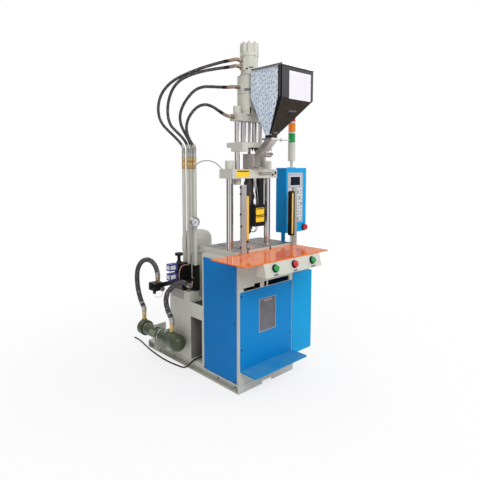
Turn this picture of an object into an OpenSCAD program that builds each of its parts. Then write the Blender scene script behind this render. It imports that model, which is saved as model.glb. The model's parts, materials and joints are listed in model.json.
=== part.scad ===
// Small vertical injection moulding machine: two tie bars, injection unit on the crosshead,
// hydraulic unit behind the cabinet. The origin is on the floor, midway between the four
// anchor holes. +X is the operator's right, +Y is the back and +Z is up.

/* [Base frame] */
// Width of the base frame
base_w = 572; // [540:1:640]
// Depth of the base frame, front to back
base_d = 1151; // [1100:1:1300]
// Height of the channel sections
channel_h = 60; // [50:1:80]
// Width of the channel flanges
channel_flange = 38; // [34:1:50]
// Thickness of the channel steel
channel_t = 5; // [4:0.5:8]
// Width of the notch in the front plate
notch_w = 100; // [60:1:160]
// Height of the notch in the front plate
notch_h = 20; // [10:1:30]
// Diameter of the anchor holes
anchor_d = 14; // [8:0.5:18]
// Distance of the anchor holes from the ends of the channels
anchor_inset = 60; // [30:1:100]

/* [Cabinet] */
// Width of the cabinet frame
cab_w = 550; // [530:1:560]
// Depth of the cabinet frame
cab_d = 400; // [380:1:420]
// Height of the cabinet frame above the base
cab_h = 870; // [840:1:900]
// Wall of the folded cabinet sheets
cab_wall = 3; // [2:0.5:5]
// Thickness of the screwed-on panels
panel_t = 2; // [1.5:0.5:4]
// Margin from a panel's edge to the window behind it
panel_lap = 22; // [18:1:30]
// Height of the front panel
front_panel_h = 545; // [500:1:560]
// Strip of the cabinet left bare on each side of the front panel
front_panel_edge = 6.5; // [4:0.5:20]
// Height of the front panel's lower edge above the base
front_panel_lift = 105; // [90:1:120]
// Height of the side panels
side_panel_h = 841; // [800:1:850]
// Width of the side panels
side_panel_w = 358; // [330:1:380]
// Height of the opening above the front panel
fascia_gap = 36; // [24:1:60]
// Depth of the step plate in front of the cabinet
step_d = 149; // [100:1:180]
// Height of the lip round the step plate
step_lip = 12; // [8:1:30]
// Width of the switch cabinet on the right side
switch_w = 229; // [180:1:260]
// Depth of the switch cabinet
switch_d = 300; // [220:1:380]
// Height of the switch cabinet
switch_h = 626; // [560:1:700]
// Height of the switch cabinet's underside above the base
switch_lift = 63; // [40:1:100]

/* [Table and clamp] */
// Thickness of the machine table
table_t = 42; // [36:1:60]
// Distance of the clamp axis in front of the base centre
axis_back = 385; // [370:1:400]
// Distance between the tie bars
tie_span = 380; // [370:1:390]
// Diameter of the tie bars
tie_d = 50; // [40:1:52]
// Wall of the tie bar bushes
bush_wall = 7; // [5:0.5:8]
// Clear height between the table and the crosshead
daylight = 503; // [490:1:520]
// Width of the crosshead
cross_w = 450; // [444:1:480]
// Depth of the crosshead
cross_d = 140; // [120:1:160]
// Thickness of the crosshead
cross_t = 65; // [55:1:80]
// Height of the tie bar nuts
tie_nut_h = 60; // [40:1:62]
// Diameter of the tie bar nuts
tie_nut_d = 65; // [60:1:68]
// Stroke of the crosshead
clamp_stroke = 70; // [20:1:75]
// Spacing of the mould bolts, side to side
mould_dx = 150; // [120:1:170]
// Spacing of the mould bolts, front to back
mould_dy = 120; // [100:1:140]
// Diameter of the tapped mould bolt holes
mould_hole_d = 10.2; // [6.8:0.1:14]
// Diameter of the ejector hole in the table
ejector_d = 30; // [20:1:40]
// Width of the T-slots in the table
slot_w = 14; // [10:1:16]

/* [Injection unit] */
// Distance between the guide rods
guide_span = 236; // [230:1:240]
// Diameter of the guide rods
guide_d = 38; // [32:1:40]
// Diameter of the guide rod nuts
guide_nut_d = 56; // [50:1:58]
// Height of the feed block
feed_h = 109; // [100:1:115]
// Width of the feed block
feed_w = 80; // [76:1:90]
// Gap between the feed block and the injection plate
plate_gap = 14; // [8:1:30]
// Height of the guide bosses under the injection plate
boss_h = 29; // [20:1:40]
// Thickness of the injection plate
inj_t = 35; // [30:1:45]
// Stroke of the injection plate
inj_stroke = 140; // [100:1:145]
// Thickness of the top plate
top_t = 49; // [40:1:60]
// Height of the injection cylinder
cyl_h = 266; // [250:1:290]
// Outer diameter of the injection cylinder
cyl_d = 172; // [165:1:176]
// Distance of each injection ram from the screw's axis
ram_off = 56; // [50:0.5:58]
// Bore of each injection ram's chamber
ram_bore = 50; // [46:1:52]
// Diameter of the ram rods
rod_d = 44; // [36:1:45]
// Height of the hydraulic motor below its cap
motor_h = 138; // [120:1:150]
// Diameter of the hydraulic motor
motor_d = 124; // [110:1:130]
// Height of the motor cap
motor_cap_h = 86; // [70:1:90]
// Diameter of the motor cap
motor_cap_d = 134; // [128:1:138]
// Number of scallops and bolts round the motor cap
cap_bolts = 8; // [6:1:10]
// Outer diameter of the barrel
barrel_d = 66; // [60:1:68]
// Diameter of the screw
screw_d = 35; // [28:1:38]
// Length of the nozzle below the barrel
nozzle_l = 62; // [50:1:66]

/* [Hopper] */
// Distance of the hopper's left wall from the clamp axis
hopper_left = 73; // [60:1:80]
// Width of the hopper, side to side
hopper_w = 320; // [280:1:330]
// Depth of the hopper, front to back
hopper_d = 288; // [260:1:289]
// Gap between the hopper's back wall and the injection cylinder
hopper_gap = 4; // [3:1:20]
// Height of the hopper's straight upper part
hopper_h = 211; // [180:1:240]
// Height of the hopper's sloping lower part, at the front
cone_h = 240; // [220:1:260]
// Height that the fold climbs towards the back
fold_rise = 22; // [0:1:40]
// Width and depth of the hopper's outlet
outlet_w = 58; // [50:1:66]
// Thickness of the hopper sheet
hopper_t = 1.5; // [1:0.5:3]
// Distance from the hopper's front wall to the outlet's centre
outlet_in = 121; // [110:1:130]

/* [Guarding and controls] */
// Width of the orange table board
board_w = 842; // [800:1:860]
// Depth of the orange table board
board_d = 319; // [300:1:330]
// Thickness of the orange table board
board_t = 8; // [5:1:10]
// Width of the button console
console_w = 570; // [560:1:600]
// Height of the button console
console_h = 88; // [80:1:100]
// Distance that the console's face leans out at its lower edge
console_lean = 26; // [15:1:30]
// Spacing of the push buttons
button_gap = 190; // [160:1:210]
// Diameter of the push button caps
button_d = 40; // [30:1:44]
// Height of the black collars round the buttons
button_collar_h = 4; // [3:0.5:5]
// Travel of the push buttons
button_travel = 4; // [3:0.5:6]
// Width of the light curtain posts
post_w = 43; // [36:1:44]
// Depth of the light curtain posts
post_d = 20; // [16:1:22]
// Width of the control box
box_w = 248; // [230:1:260]
// Depth of the control box
box_d = 106; // [90:1:110]
// Height of the control box
box_h = 514; // [480:1:530]
// Height of the control box above the table
box_lift = 63; // [50:1:80]
// Diameter of the signal tower
tower_d = 58; // [50:1:64]
// Height of one signal lens
lens_h = 72; // [50:1:74]

/* [Hydraulic unit] */
// Height of the oil tank above the base
tank_h = 470; // [440:1:500]
// Depth of the oil tank, front to back
tank_d = 423; // [400:1:440]
// Diameter of the electric motor's body
emotor_d = 196; // [180:1:200]
// Diameter of the electric motor's cowl
cowl_d = 240; // [220:1:244]
// Height of the electric motor's body
emotor_h = 350; // [330:1:360]
// Height of the electric motor's cowl
cowl_h = 165; // [150:1:175]
// Height of the valve block
valve_h = 200; // [190:1:210]
// Diameter of the riser pipes
riser_d = 28; // [20:1:30]
// Diameter of the cooler's shell
cooler_d = 96; // [90:1:110]
// Diameter of the cooler's end caps
cooler_cap_d = 126; // [120:1:134]
// Diameter of the cooler's hoses
cooler_hose_d = 40; // [30:1:42]
// Diameter of the pressure gauge
gauge_d = 75; // [50:1:76]

/* [Hidden] */
$fn = 64;

// Clearance of a running fit, on the radius
fit = 0.05;
// Gap left between parts that only pass each other
slack = 0.3;

axis_y = -axis_back;
tie_x = tie_span / 2;
guide_x = guide_span / 2;
tie_bore = tie_d + 2 * fit;
guide_bore = guide_d + 2 * fit;
bush_d = tie_d + 2 * bush_wall;

front_panel_w = cab_w - 2 * front_panel_edge;
cab_front = -base_d / 2 + panel_t;
cab_back = cab_front + cab_d;
cab_top = channel_h + cab_h;
panel_top = channel_h + front_panel_lift + front_panel_h;
side_panel_z = channel_h + 2;
side_panel_y = cab_front + 24;

table_x0 = -tie_x - bush_d / 2 - 10;
table_x1 = 365;
table_y0 = -491;
table_y1 = -137;
table_top = cab_top + table_t;
cross_z = table_top + daylight;
cross_top = cross_z + cross_t;
yoke_t = 60;
yoke_z = cab_top - 380;
yoke_d = 110;

feed_top = cross_top + feed_h;
feed_y0 = axis_y - 75;
feed_y1 = axis_y + 25;
boss_z = feed_top + plate_gap;
inj_z = boss_z + boss_h;
inj_top = inj_z + inj_t;
inj_w = 290;
inj_front = 81;
inj_back = 81;
top_z = inj_top + inj_stroke + 10;
top_w = 294;
top_d = 86;
cyl_z = top_z + top_t;
cyl_end = 18;
motor_z = cyl_z + cyl_h;
cap_z = motor_z + motor_h;
port_w = 44;

barrel_z = table_top + 155;
barrel_top = cross_top + 50;
nozzle_tip = barrel_z - nozzle_l;
shank_d = 22;

hopper_x0 = -hopper_left;
hopper_x1 = hopper_x0 + hopper_w;
hopper_y1 = axis_y - cyl_d / 2 - hopper_gap;
hopper_y0 = hopper_y1 - hopper_d;
outlet_x = hopper_x0 + outlet_w / 2;
outlet_y = hopper_y0 + outlet_in;
gate_t = 4;
gate_z = 1742;
gate_block_h = 12;
gasket_h = 20;
outlet_z = gate_z + gate_block_h / 2 + gasket_h;
fold_z = outlet_z + cone_h;
hopper_top = fold_z + hopper_h;

board_top = cab_top + 25;
board_z = board_top - board_t;
board_x0 = -452;
board_y1 = table_y0;
board_y0 = board_y1 - board_d;
post_y = board_y1 - 6 - post_d;
console_top = board_z;
console_y = board_y0 + 2;
lean = atan(console_lean / console_h);

box_x = table_x1 + 6;
box_y = -418;
box_z = table_top + box_lift;
box_top = box_z + box_h;
tower_x = box_x + 124;
tower_y = box_y + box_d / 2;

tank_x = cab_w / 2;
tank_y0 = cab_back;
tank_y1 = tank_y0 + tank_d;
tank_top = channel_h + tank_h;
emotor_y = 160;
valve_x1 = 95 - tank_x;
valve_x0 = valve_x1 - 42;
valve_y0 = -22;
valve_y1 = 156;
valve_z = tank_top + 70;
valve_top = valve_z + valve_h;
riser_x = valve_x0 + 17;
emotor_x = valve_x1 + 115;
riser_y = [137, 79, 35, -4];
riser_top = 1540;
cooler_x = -355;
cooler_z = 208;
cooler_y0 = 60;
cooler_y1 = 478;
port_a = 520;
port_b = 110;
union_top = 346;
boss_top = cooler_z + cooler_cap_d / 2 + 5;
boss_d = cooler_hose_d + 6;
union_d = cooler_hose_d - 2;
gauge_x = valve_x0 - 18;
gauge_y = -56;
gauge_z = 1142;

hose_d = 22;
hose_facing = [0.69, 0.72, 0];
hose_1 = [[-118, -385, 2296], [-130, -385, 2296], [-150, -352, 2291], [-185, -300, 2282],
    [-225, -220, 2267], [-262, -130, 2249], [-300, -40, 2224], [-338, 50, 2190],
    [-366, 125, 2140], [-379, 180, 2078], [-378, 212, 2005], [-362, 226, 1935],
    [-334, 222, 1880], [-296, 205, 1835], [-256, 182, 1790], [-224, 157, 1746],
    [riser_x, riser_y[0], 1704], [riser_x, riser_y[0], 1690]];
hose_2 = [[-118, -385, 2252], [-130, -385, 2252], [-150, -330, 2249], [-183, -270, 2245],
    [-218, -208, 2239], [-255, -142, 2229], [-292, -70, 2211], [-325, 0, 2181],
    [-344, 60, 2132], [-350, 104, 2067], [-346, 134, 1998], [-334, 148, 1930],
    [-312, 147, 1872], [-276, 131, 1828], [-240, 111, 1787], [-215, 92, 1744],
    [riser_x, riser_y[1], 1704], [riser_x, riser_y[1], 1690]];
hose_3 = [[-138, -385, 2108], [-150, -385, 2108], [-170, -340, 2108], [-195, -283, 2113],
    [-218, -220, 2121], [-241, -158, 2124], [-266, -98, 2106], [-286, -38, 2058],
    [-296, 15, 1998], [-293, 52, 1935], [-276, 66, 1875], [-251, 62, 1822],
    [-226, 50, 1770], [-211, 40, 1730], [riser_x, riser_y[2], 1704], [riser_x, riser_y[2], 1690]];
hose_4 = [[-178, -385, 1902], [-190, -385, 1902], [-204, -350, 1917], [-218, -300, 1948],
    [-230, -250, 1978], [-246, -196, 1996], [-262, -140, 1990], [-274, -82, 1958],
    [-278, -28, 1905], [-270, 6, 1845], [-250, 14, 1785], [-224, 6, 1735],
    [-209, -1, 1715], [riser_x, riser_y[3], 1704], [riser_x, riser_y[3], 1690]];
hose_a = [[-295, 395, 640], [-295, 395, 664], [-297, 403, 702], [-304, 420, 744],
    [-319, 445, 776], [-341, 474, 790], [-366, 500, 781], [-385, 521, 752],
    [-397, 536, 710], [-402, 542, 660], [-402, 542, 605], [-398, 540, 550],
    [-390, 535, 495], [-378, 529, 440], [-364, 523, 398], [-355, 520, 368],
    [-355, 520, 346]];
hose_b = [[valve_x0 - 20, 5, 645], [valve_x0 - 40, 5, 645], [-284, 8, 662], [-308, 16, 678], [-333, 30, 680],
    [-360, 54, 664], [-379, 88, 626], [-388, 115, 590], [-388, 133, 552], [-386, 140, 515],
    [-381, 137, 475], [-373, 128, 433], [-362, 116, 396], [-355, 110, 368],
    [-355, 110, 346]];
cable_d = 12;
cable_facing = [1, 0, 1];
cable = [[-155, -98, 104], [-166, -98, 104], [-196, -96, 101], [-226, -92, 99],
    [-256, -84, 96], [-283, -70, 82], [-302, -50, 56], [-312, -24, 28], [-318, 6, 11],
    [-324, 40, 6.3], [-330, 80, 6.3], [-337, 125, 6.3], [-342, 175, 6.3],
    [-344, 230, 6.3], [-342, 290, 6.3], [-338, 350, 6.3], [-332, 410, 6.3],
    [-325, 470, 6.3], [-315, 535, 6.3], [-303, 600, 6.3], [-290, 665, 6.3],
    [-280, 730, 6.3], [-276, 785, 6.3], [-276, 830, 6.3]];

// A block between two corners
module block(a, b) {
    translate(a)
        cube(b - a);
}

// An upright round bar between two heights
module bar(d, z0, z1, x = 0, y = axis_y) {
    translate([x, y, z0])
        cylinder(d = d, h = z1 - z0);
}

// A round bar along X between two stations
module bar_x(d, x0, x1, y, z) {
    translate([x0, y, z])
        rotate([0, 90, 0])
            cylinder(d = d, h = x1 - x0);
}

// A round bar along Y between two stations
module bar_y(d, y0, y1, x, z) {
    translate([x, y0, z])
        rotate([-90, 0, 0])
            cylinder(d = d, h = y1 - y0);
}

// Puts its children at the left and the right tie bar or guide rod
module at_pair(x) {
    for (side = [-1, 1])
        translate([side * x, 0, 0])
            children();
}

function unit(v) = v / norm(v);
function tangent(route, i) =
    unit(route[min(i + 1, len(route) - 1)] - route[max(i - 1, 0)]);
function ring(route, i, d, sides, facing) =
    let (t = tangent(route, i), a = unit(cross(t, facing)), b = cross(t, a))
    [for (k = [0 : sides - 1])
        route[i] + d / 2 * (cos(360 * k / sides) * a + sin(360 * k / sides) * b)];

// A flexible line swept along a list of points
module swept(route, d, facing, sides = 8) {
    last = len(route) - 1;
    points = [for (i = [0 : last]) each ring(route, i, d, sides, facing)];
    skin = [for (i = [0 : last - 1], k = [0 : sides - 1])
        let (a = i * sides + k, b = i * sides + (k + 1) % sides)
        each [[a, b + sides, b], [a, a + sides, b + sides]]];
    start_cap = [for (k = [0 : sides - 1]) k];
    end_cap = [for (k = [sides - 1 : -1 : 0]) last * sides + k];
    polyhedron(points, concat(skin, [start_cap, end_cap]));
}

// The cross beams end inside the webs of the channels
beam_x = base_w / 2 - channel_flange + channel_t / 2;

module channel_profile() {
    inner = base_w / 2 - channel_flange;
    translate([inner, 0])
        square([channel_t, channel_h]);
    for (z = [0, channel_h - channel_t])
        translate([inner, z])
            square([channel_flange, channel_t]);
}

module base_frame() {
    color("antiquewhite") {
        difference() {
            for (side = [0, 1])
                mirror([side, 0, 0])
                    translate([0, base_d / 2 - channel_t, 0])
                        rotate([90, 0, 0])
                            linear_extrude(base_d - 2 * channel_t)
                                channel_profile();
            for (side = [-1, 1], end = [-1, 1])
                translate([side * (base_w / 2 - channel_flange / 2 + 2),
                        end * (base_d / 2 - anchor_inset), -1])
                    cylinder(d = anchor_d, h = channel_t + 2);
        }
        difference() {
            block([-base_w / 2, -base_d / 2, 0], [base_w / 2, -base_d / 2 + channel_t, channel_h]);
            block([-notch_w / 2, -base_d / 2 - 1, -1], [notch_w / 2, -base_d / 2 + channel_t + 1, notch_h]);
        }
        block([-base_w / 2, base_d / 2 - channel_t, 0], [base_w / 2, base_d / 2, channel_h]);
        for (y = [cab_back - 20, tank_y1 - 40])
            block([-beam_x, y, channel_h - 40], [beam_x, y + 40, channel_h]);
    }
}

// Strip of the fascia kept at the cabinet's corners
fascia_end = 42;

// An opening above the front panel, between two stations across the cabinet
module fascia_cut(from, to, h) {
    block([from, cab_front - 1, panel_top + 4],
        [to, cab_front + cab_wall + 1, panel_top + 4 + h]);
}

module cabinet_frame() {
    color("antiquewhite")
        difference() {
            block([-cab_w / 2, cab_front, channel_h], [cab_w / 2, cab_back, cab_top]);
            block([-cab_w / 2 + cab_wall, cab_front + cab_wall, channel_h - 1],
                [cab_w / 2 - cab_wall, cab_back - cab_wall, cab_top - cab_wall]);
            block([-front_panel_w / 2 + panel_lap, cab_front - 1,
                    channel_h + front_panel_lift + panel_lap],
                [front_panel_w / 2 - panel_lap, cab_front + cab_wall + 1, panel_top - panel_lap]);
            fascia_cut(fascia_end - cab_w / 2, -74, fascia_gap - 15);
            fascia_cut(-132, -74, fascia_gap);
            fascia_cut(-33, -8, fascia_gap);
            fascia_cut(6, cab_w / 2 - fascia_end, fascia_gap);
            block([-cab_w / 2 - 1, side_panel_y + panel_lap, side_panel_z + panel_lap],
                [cab_w / 2 + 1, side_panel_y + side_panel_w - panel_lap,
                    side_panel_z + side_panel_h - panel_lap]);
            at_pair(tie_x)
                bar(bush_d + 2, cab_top - cab_wall - 1, cab_top + 1);
            bar(clamp_d + 10, cab_top - cab_wall - 1, cab_top + 1);
        }
}

module side_panel(side) {
    x = side * cab_w / 2;
    block([min(x, x + side * panel_t), side_panel_y, side_panel_z],
        [max(x, x + side * panel_t), side_panel_y + side_panel_w, side_panel_z + side_panel_h]);
}

module side_panels() {
    color("dodgerblue")
        for (side = [-1, 1])
            side_panel(side);
}

module front_panel() {
    color("dodgerblue")
        block([-front_panel_w / 2, cab_front - panel_t, channel_h + front_panel_lift],
            [front_panel_w / 2, cab_front, panel_top]);
}

module step_plate() {
    z = channel_h + front_panel_lift;
    w = front_panel_w / 2;
    y = cab_front - panel_t;
    color("dodgerblue") {
        block([-w, y - step_d, z - cab_wall], [w, y + panel_t, z]);
        block([-w, y - step_d, z - step_lip], [w, y - step_d + cab_wall, z - cab_wall]);
        for (side = [0, 1])
            mirror([side, 0, 0])
                block([w - cab_wall, y - step_d + cab_wall, z - step_lip], [w, y + panel_t, z - cab_wall]);
    }
}

switch_x = cab_w / 2 + panel_t;
switch_z = channel_h + switch_lift;

module switch_cabinet() {
    x1 = switch_x + switch_w;
    z1 = switch_z + switch_h;
    color("deepskyblue")
        difference() {
            block([switch_x, cab_front - panel_t, switch_z], [x1, cab_front + switch_d, z1]);
            block([switch_x + cab_wall, cab_front + cab_wall, switch_z + cab_wall],
                [x1 - cab_wall, cab_front + switch_d - cab_wall, z1 - cab_wall]);
            difference() {
                block([switch_x - 1, cab_front, switch_z - 1], [x1 + 1, cab_front + 1, z1 + 1]);
                block([switch_x + 1, cab_front - 1, switch_z + 1], [x1 - 1, cab_front + 2, z1 - 1]);
            }
        }
}

// A groove through the table from front to back
module slot(x, w, z0, z1) {
    block([x - w / 2, table_y0 - 1, z0], [x + w / 2, table_y1 + 1, z1]);
}

module machine_table() {
    color("darkgray")
        difference() {
            block([table_x0, table_y0, cab_top], [table_x1, table_y1, table_top]);
            at_pair(tie_x)
                bar(bush_d, cab_top - 1, table_top + 1);
            bar(ejector_d, cab_top - 1, table_top + 1);
            for (x = [-mould_dx / 2, mould_dx / 2], y = [-mould_dy / 2, mould_dy / 2])
                bar(mould_hole_d, cab_top - 1, table_top + 1, x, axis_y + y);
            for (x = [-115, 115]) {
                slot(x, slot_w, table_top - 20, table_top + 1);
                slot(x, slot_w + 10, table_top - 28, table_top - 15);
            }
        }
}

module tie_bar_bushes() {
    color("goldenrod")
        at_pair(tie_x)
            difference() {
                bar(bush_d, cab_top, table_top);
                bar(tie_bore, cab_top - 1, table_top + 1);
            }
}

module tie_bars() {
    color("silver")
        at_pair(tie_x)
            bar(tie_d, yoke_z - 25, cross_top + tie_nut_h - 8);
}

module crosshead() {
    color("antiquewhite")
        difference() {
            block([-cross_w / 2, axis_y - cross_d / 2, cross_z],
                [cross_w / 2, axis_y + cross_d / 2, cross_top]);
            at_pair(tie_x)
                bar(tie_bore, cross_z - 1, cross_top + 1);
            at_pair(guide_x)
                bar(guide_bore, cross_z - 1, cross_top + 1);
            bar(barrel_d + 2 * fit, cross_z - 1, cross_top + 1);
        }
}

// A round nut closed at its far end, with a chamfered rim
module blind_nut(d, bore, h, depth) {
    rotate_extrude()
        polygon([[bore / 2, 0], [d / 2, 0], [d / 2, h - 3], [d / 2 - 3, h], [0, h], [0, depth],
            [bore / 2, depth]]);
}

nut_h = 45;

module rod_nuts() {
    color("antiquewhite") {
        at_pair(tie_x) {
            translate([0, axis_y, cross_top])
                blind_nut(tie_nut_d, tie_bore, tie_nut_h, tie_nut_h - 8);
            translate([0, axis_y, yoke_z])
                mirror([0, 0, 1])
                    blind_nut(tie_nut_d, tie_bore, 33, 25);
        }
        at_pair(guide_x) {
            translate([0, axis_y, cross_z])
                mirror([0, 0, 1])
                    blind_nut(guide_nut_d, guide_bore, nut_h, nut_h - 8);
            translate([0, axis_y, cyl_z])
                blind_nut(guide_nut_d, guide_bore, nut_h + 8, nut_h);
        }
    }
}

module lower_yoke() {
    color("dimgray")
        difference() {
            block([-cross_w / 2, axis_y - yoke_d / 2, yoke_z],
                [cross_w / 2, axis_y + yoke_d / 2, yoke_z + yoke_t]);
            at_pair(tie_x)
                bar(tie_bore, yoke_z - 1, yoke_z + yoke_t + 1);
        }
}

clamp_d = 140;
clamp_rod_d = 60;
clamp_h = 240;
clamp_bottom = cab_top - clamp_h;

module clamp_cylinder() {
    color("dimgray")
        difference() {
            bar(clamp_d, clamp_bottom, cab_top);
            bar(clamp_d - 24, clamp_bottom + 20, cab_top - 20);
            bar(clamp_rod_d + 2 * fit, clamp_bottom - 1, clamp_bottom + 21);
        }
}

module clamp_rod() {
    // The piston stands its stroke and 10 mm clear of the cylinder's lower end
    piston_z = clamp_bottom + 30 + clamp_stroke;
    color("silver") {
        bar(clamp_rod_d, yoke_z + yoke_t, piston_z);
        bar(clamp_d - 24 - 2 * fit, piston_z, piston_z + 35);
    }
}

module guide_rods() {
    color("silver")
        at_pair(guide_x)
            bar(guide_d, cross_z - nut_h + 8, cyl_z + nut_h);
}

module top_plate() {
    color("antiquewhite")
        difference() {
            union() {
                block([-top_w / 2, axis_y - top_d / 2, top_z], [top_w / 2, axis_y + top_d / 2, cyl_z]);
                bar_x(26, hose_4[0].x, -top_w / 2, axis_y, hose_4[0].z);
            }
            at_pair(guide_x)
                bar(guide_bore, top_z - 1, cyl_z + 1);
            at_pair(ram_off)
                bar(rod_d + 2 * fit, top_z - 1, cyl_z + 1);
            bar(shank_d + 6, top_z - 1, cyl_z + 1);
        }
}

module injection_cylinder() {
    tube_top = cyl_z + cyl_h - cyl_end;
    color("antiquewhite")
        difference() {
            union() {
                bar(cyl_d, cyl_z, cyl_z + cyl_h);
                bar_x(36, -cyl_d / 2 - 12, 12 - cyl_d / 2, axis_y, hose_3[0].z);
                bar_x(26, hose_3[0].x, -cyl_d / 2, axis_y, hose_3[0].z);
            }
            at_pair(ram_off)
                bar(ram_bore, cyl_z - 1, tube_top);
            bar(shank_d + 6, cyl_z - 1, cyl_z + cyl_h + 1);
            difference() {
                bar(cyl_d + 1, cyl_z + 141, cyl_z + 143);
                bar(cyl_d - 2, cyl_z + 140, cyl_z + 144);
            }
        }
}

piston_t = 40;

module injection_piston() {
    color("silver")
        at_pair(ram_off) {
            bar(rod_d, inj_top, cyl_z + 10);
            bar(ram_bore - 2 * fit, cyl_z + 10, cyl_z + 10 + piston_t);
        }
}

module injection_plate() {
    color("antiquewhite")
        difference() {
            union() {
                block([-inj_w / 2, axis_y - inj_front, inj_z], [inj_w / 2, axis_y + inj_back, inj_top]);
                for (side = [0, 1])
                    mirror([side, 0, 0])
                        block([guide_x - 30, axis_y - inj_front, boss_z], [inj_w / 2, axis_y + 35, inj_z]);
            }
            at_pair(guide_x)
                bar(guide_bore, boss_z - 1, inj_top + 1);
            bar(shank_d + 2 * fit, inj_z - 1, inj_top + 1);
        }
}

screw_pitch = 60;
// The screw's step that hangs it from the injection plate
collar_d = 40;
collar_h = 10;

module screw() {
    root_d = screw_d - 12;
    flight_z = barrel_z + 40;
    flight_h = cross_top + 100 - flight_z;
    color("silver") {
        bar(shank_d, flight_z + flight_h, inj_z - collar_h);
        bar(shank_d, inj_z - collar_h, motor_z + 20);
        bar(collar_d, inj_z - collar_h - slack, inj_z - slack);
        turns = flight_h / screw_pitch;
        translate([0, axis_y, flight_z])
            linear_extrude(height = flight_h, twist = -360 * turns, slices = 72, $fn = 10)
                polygon(concat(
                    [for (a = [-13, 0, 13]) (screw_d / 2 - fit) * [cos(a), sin(a)]],
                    [for (a = [30 : 50 : 330]) root_d / 2 * [cos(a), sin(a)]]));
        translate([0, axis_y, barrel_z + 18])
            cylinder(d1 = 6, d2 = root_d - 2, h = 22);
    }
}

module barrel() {
    color("dimgray")
        difference() {
            bar(barrel_d, barrel_z, barrel_top);
            bar(screw_d, barrel_z + 16, barrel_top + 1);
            bar(6, barrel_z - 1, barrel_z + 17);
        }
}

band_t = 6;
band_h = 48;
band_pitch = 80;
first_band = 60;

module heater_bands() {
    color("slategray")
        for (k = [0 : 3])
            translate([0, axis_y, barrel_z + first_band + k * band_pitch])
                heater_band();
}

// A split clamp band centred on its own middle, with its ears at the back
module heater_band() {
    difference() {
        union() {
            bar(barrel_d + 2 * fit + 2 * band_t, -band_h / 2, band_h / 2, 0, 0);
            block([-7, barrel_d / 2, -band_h / 4], [7, barrel_d / 2 + 18, band_h / 4]);
        }
        bar(barrel_d + 2 * fit, -band_h / 2 - 1, band_h / 2 + 1, 0, 0);
        block([-1, 0, -band_h], [1, barrel_d, band_h]);
    }
}

module nozzle() {
    color("gray")
        translate([0, axis_y, barrel_z])
            mirror([0, 0, 1])
                rotate_extrude()
                    polygon([[3, 0], [24, 0], [24, 26], [15, 26], [15, nozzle_l - 16],
                        [5, nozzle_l], [1.5, nozzle_l], [1.5, nozzle_l - 8], [3, nozzle_l - 12]]);
}

cover_x0 = -27;
cover_x1 = 78;
cover_y0 = axis_y - 85;
cover_y1 = axis_y - 42;
cover_z0 = table_top + 156;
cover_z1 = cover_z0 + 158;

module barrel_cover() {
    color("black") {
        block([cover_x0, cover_y0, cover_z0], [cover_x1, cover_y1, cover_z1]);
        block([cover_x1 - 52, cover_y0 + 12, cover_z1], [cover_x1, cover_y1, cross_z]);
        bar(12, cover_z1, cross_z, cover_x1 - 62, axis_y - 60);
    }
}

module feed_block() {
    color("lightgray")
        difference() {
            block([-feed_w / 2, feed_y0, cross_top], [feed_w / 2, feed_y1, feed_top]);
            bar(barrel_d + 2 * fit, cross_top - 1, barrel_top);
            bar(screw_d, barrel_top - 1, feed_top + 1);
            bar_y(throat_d, feed_y0 - 1, axis_y, 0, throat_z);
        }
}

throat_d = 28;
throat_z = cross_top + 72;
flange_t = 6;
duct_w = 62;
duct_t = 3;

chute_y = feed_y0 - flange_t;
chute_z0 = cross_top + 14;
knee_z = cross_top + 100;
chute_top = gate_z - gate_block_h / 2;

// The duct's outside at no inset, its inside at the sheet's thickness: a slope from the
// hopper's outlet to the knee, then straight down in front of the feed block
module duct(inset, over = 0) {
    half = duct_w / 2 - inset;
    y = chute_y - duct_w / 2;
    hull() {
        block([outlet_x - half, outlet_y - half, chute_top - 0.5],
            [outlet_x + half, outlet_y + half, chute_top + over]);
        block([-half, y - half, knee_z], [half, y + half, knee_z + 0.5]);
    }
    block([-half, y - half, chute_z0 + inset], [half, y + half, knee_z + 0.5]);
}

module feed_chute() {
    color("silver")
        difference() {
            union() {
                duct(0);
                block([-feed_w / 2 - 2, chute_y, cross_top + 6],
                    [feed_w / 2 + 2, feed_y0, feed_top - 6]);
            }
            duct(duct_t, 1);
            bar_y(throat_d, chute_y - duct_t - 1, feed_y0 + 1, 0, throat_z);
        }
}

plug_y = axis_y - 148;
plug_z = cross_top + 115;
plug_d = 58;

module chute_plug() {
    color("lightgray")
        difference() {
            union() {
                bar_x(plug_d, -8, 56, plug_y, plug_z);
                bar_x(plug_d + 6, 46, 60, plug_y, plug_z);
            }
            duct(0);
        }
}

gate_w = outlet_w + 30;

// A square block centred on the outlet
module outlet_block(w, z0, z1) {
    block([outlet_x - w / 2, outlet_y - w / 2, z0], [outlet_x + w / 2, outlet_y + w / 2, z1]);
}

module gate_housing() {
    half = outlet_w / 2;
    z0 = gate_z - gate_block_h / 2;
    z1 = gate_z + gate_block_h / 2;
    slot_y = half + 4 + fit;
    color("silver") {
        difference() {
            outlet_block(gate_w, z0, z1);
            block([outlet_x - half - fit, outlet_y - slot_y, gate_z - gate_t / 2 - fit],
                [outlet_x + gate_w, outlet_y + slot_y, gate_z + gate_t / 2 + fit]);
            outlet_block(outlet_w - 8, z0 - 1, z1 + 1);
        }
        difference() {
            outlet_block(outlet_w, z1, outlet_z);
            outlet_block(outlet_w - 8, z1 - 1, outlet_z + 1);
        }
    }
}

module slide_gate() {
    half = outlet_w / 2;
    end_x = outlet_x + gate_w / 2 + 6;
    color("silver") {
        block([outlet_x - half, outlet_y - half - 4, gate_z - gate_t / 2],
            [end_x, outlet_y + half + 4, gate_z + gate_t / 2]);
        block([end_x, outlet_y - 16, gate_z - 7], [end_x + 3, outlet_y + 16, gate_z + 7]);
        bar_x(8, end_x + 2, end_x + 136, outlet_y, gate_z);
        bar_x(20, end_x + 42, end_x + 62, outlet_y, gate_z);
    }
}

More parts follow.
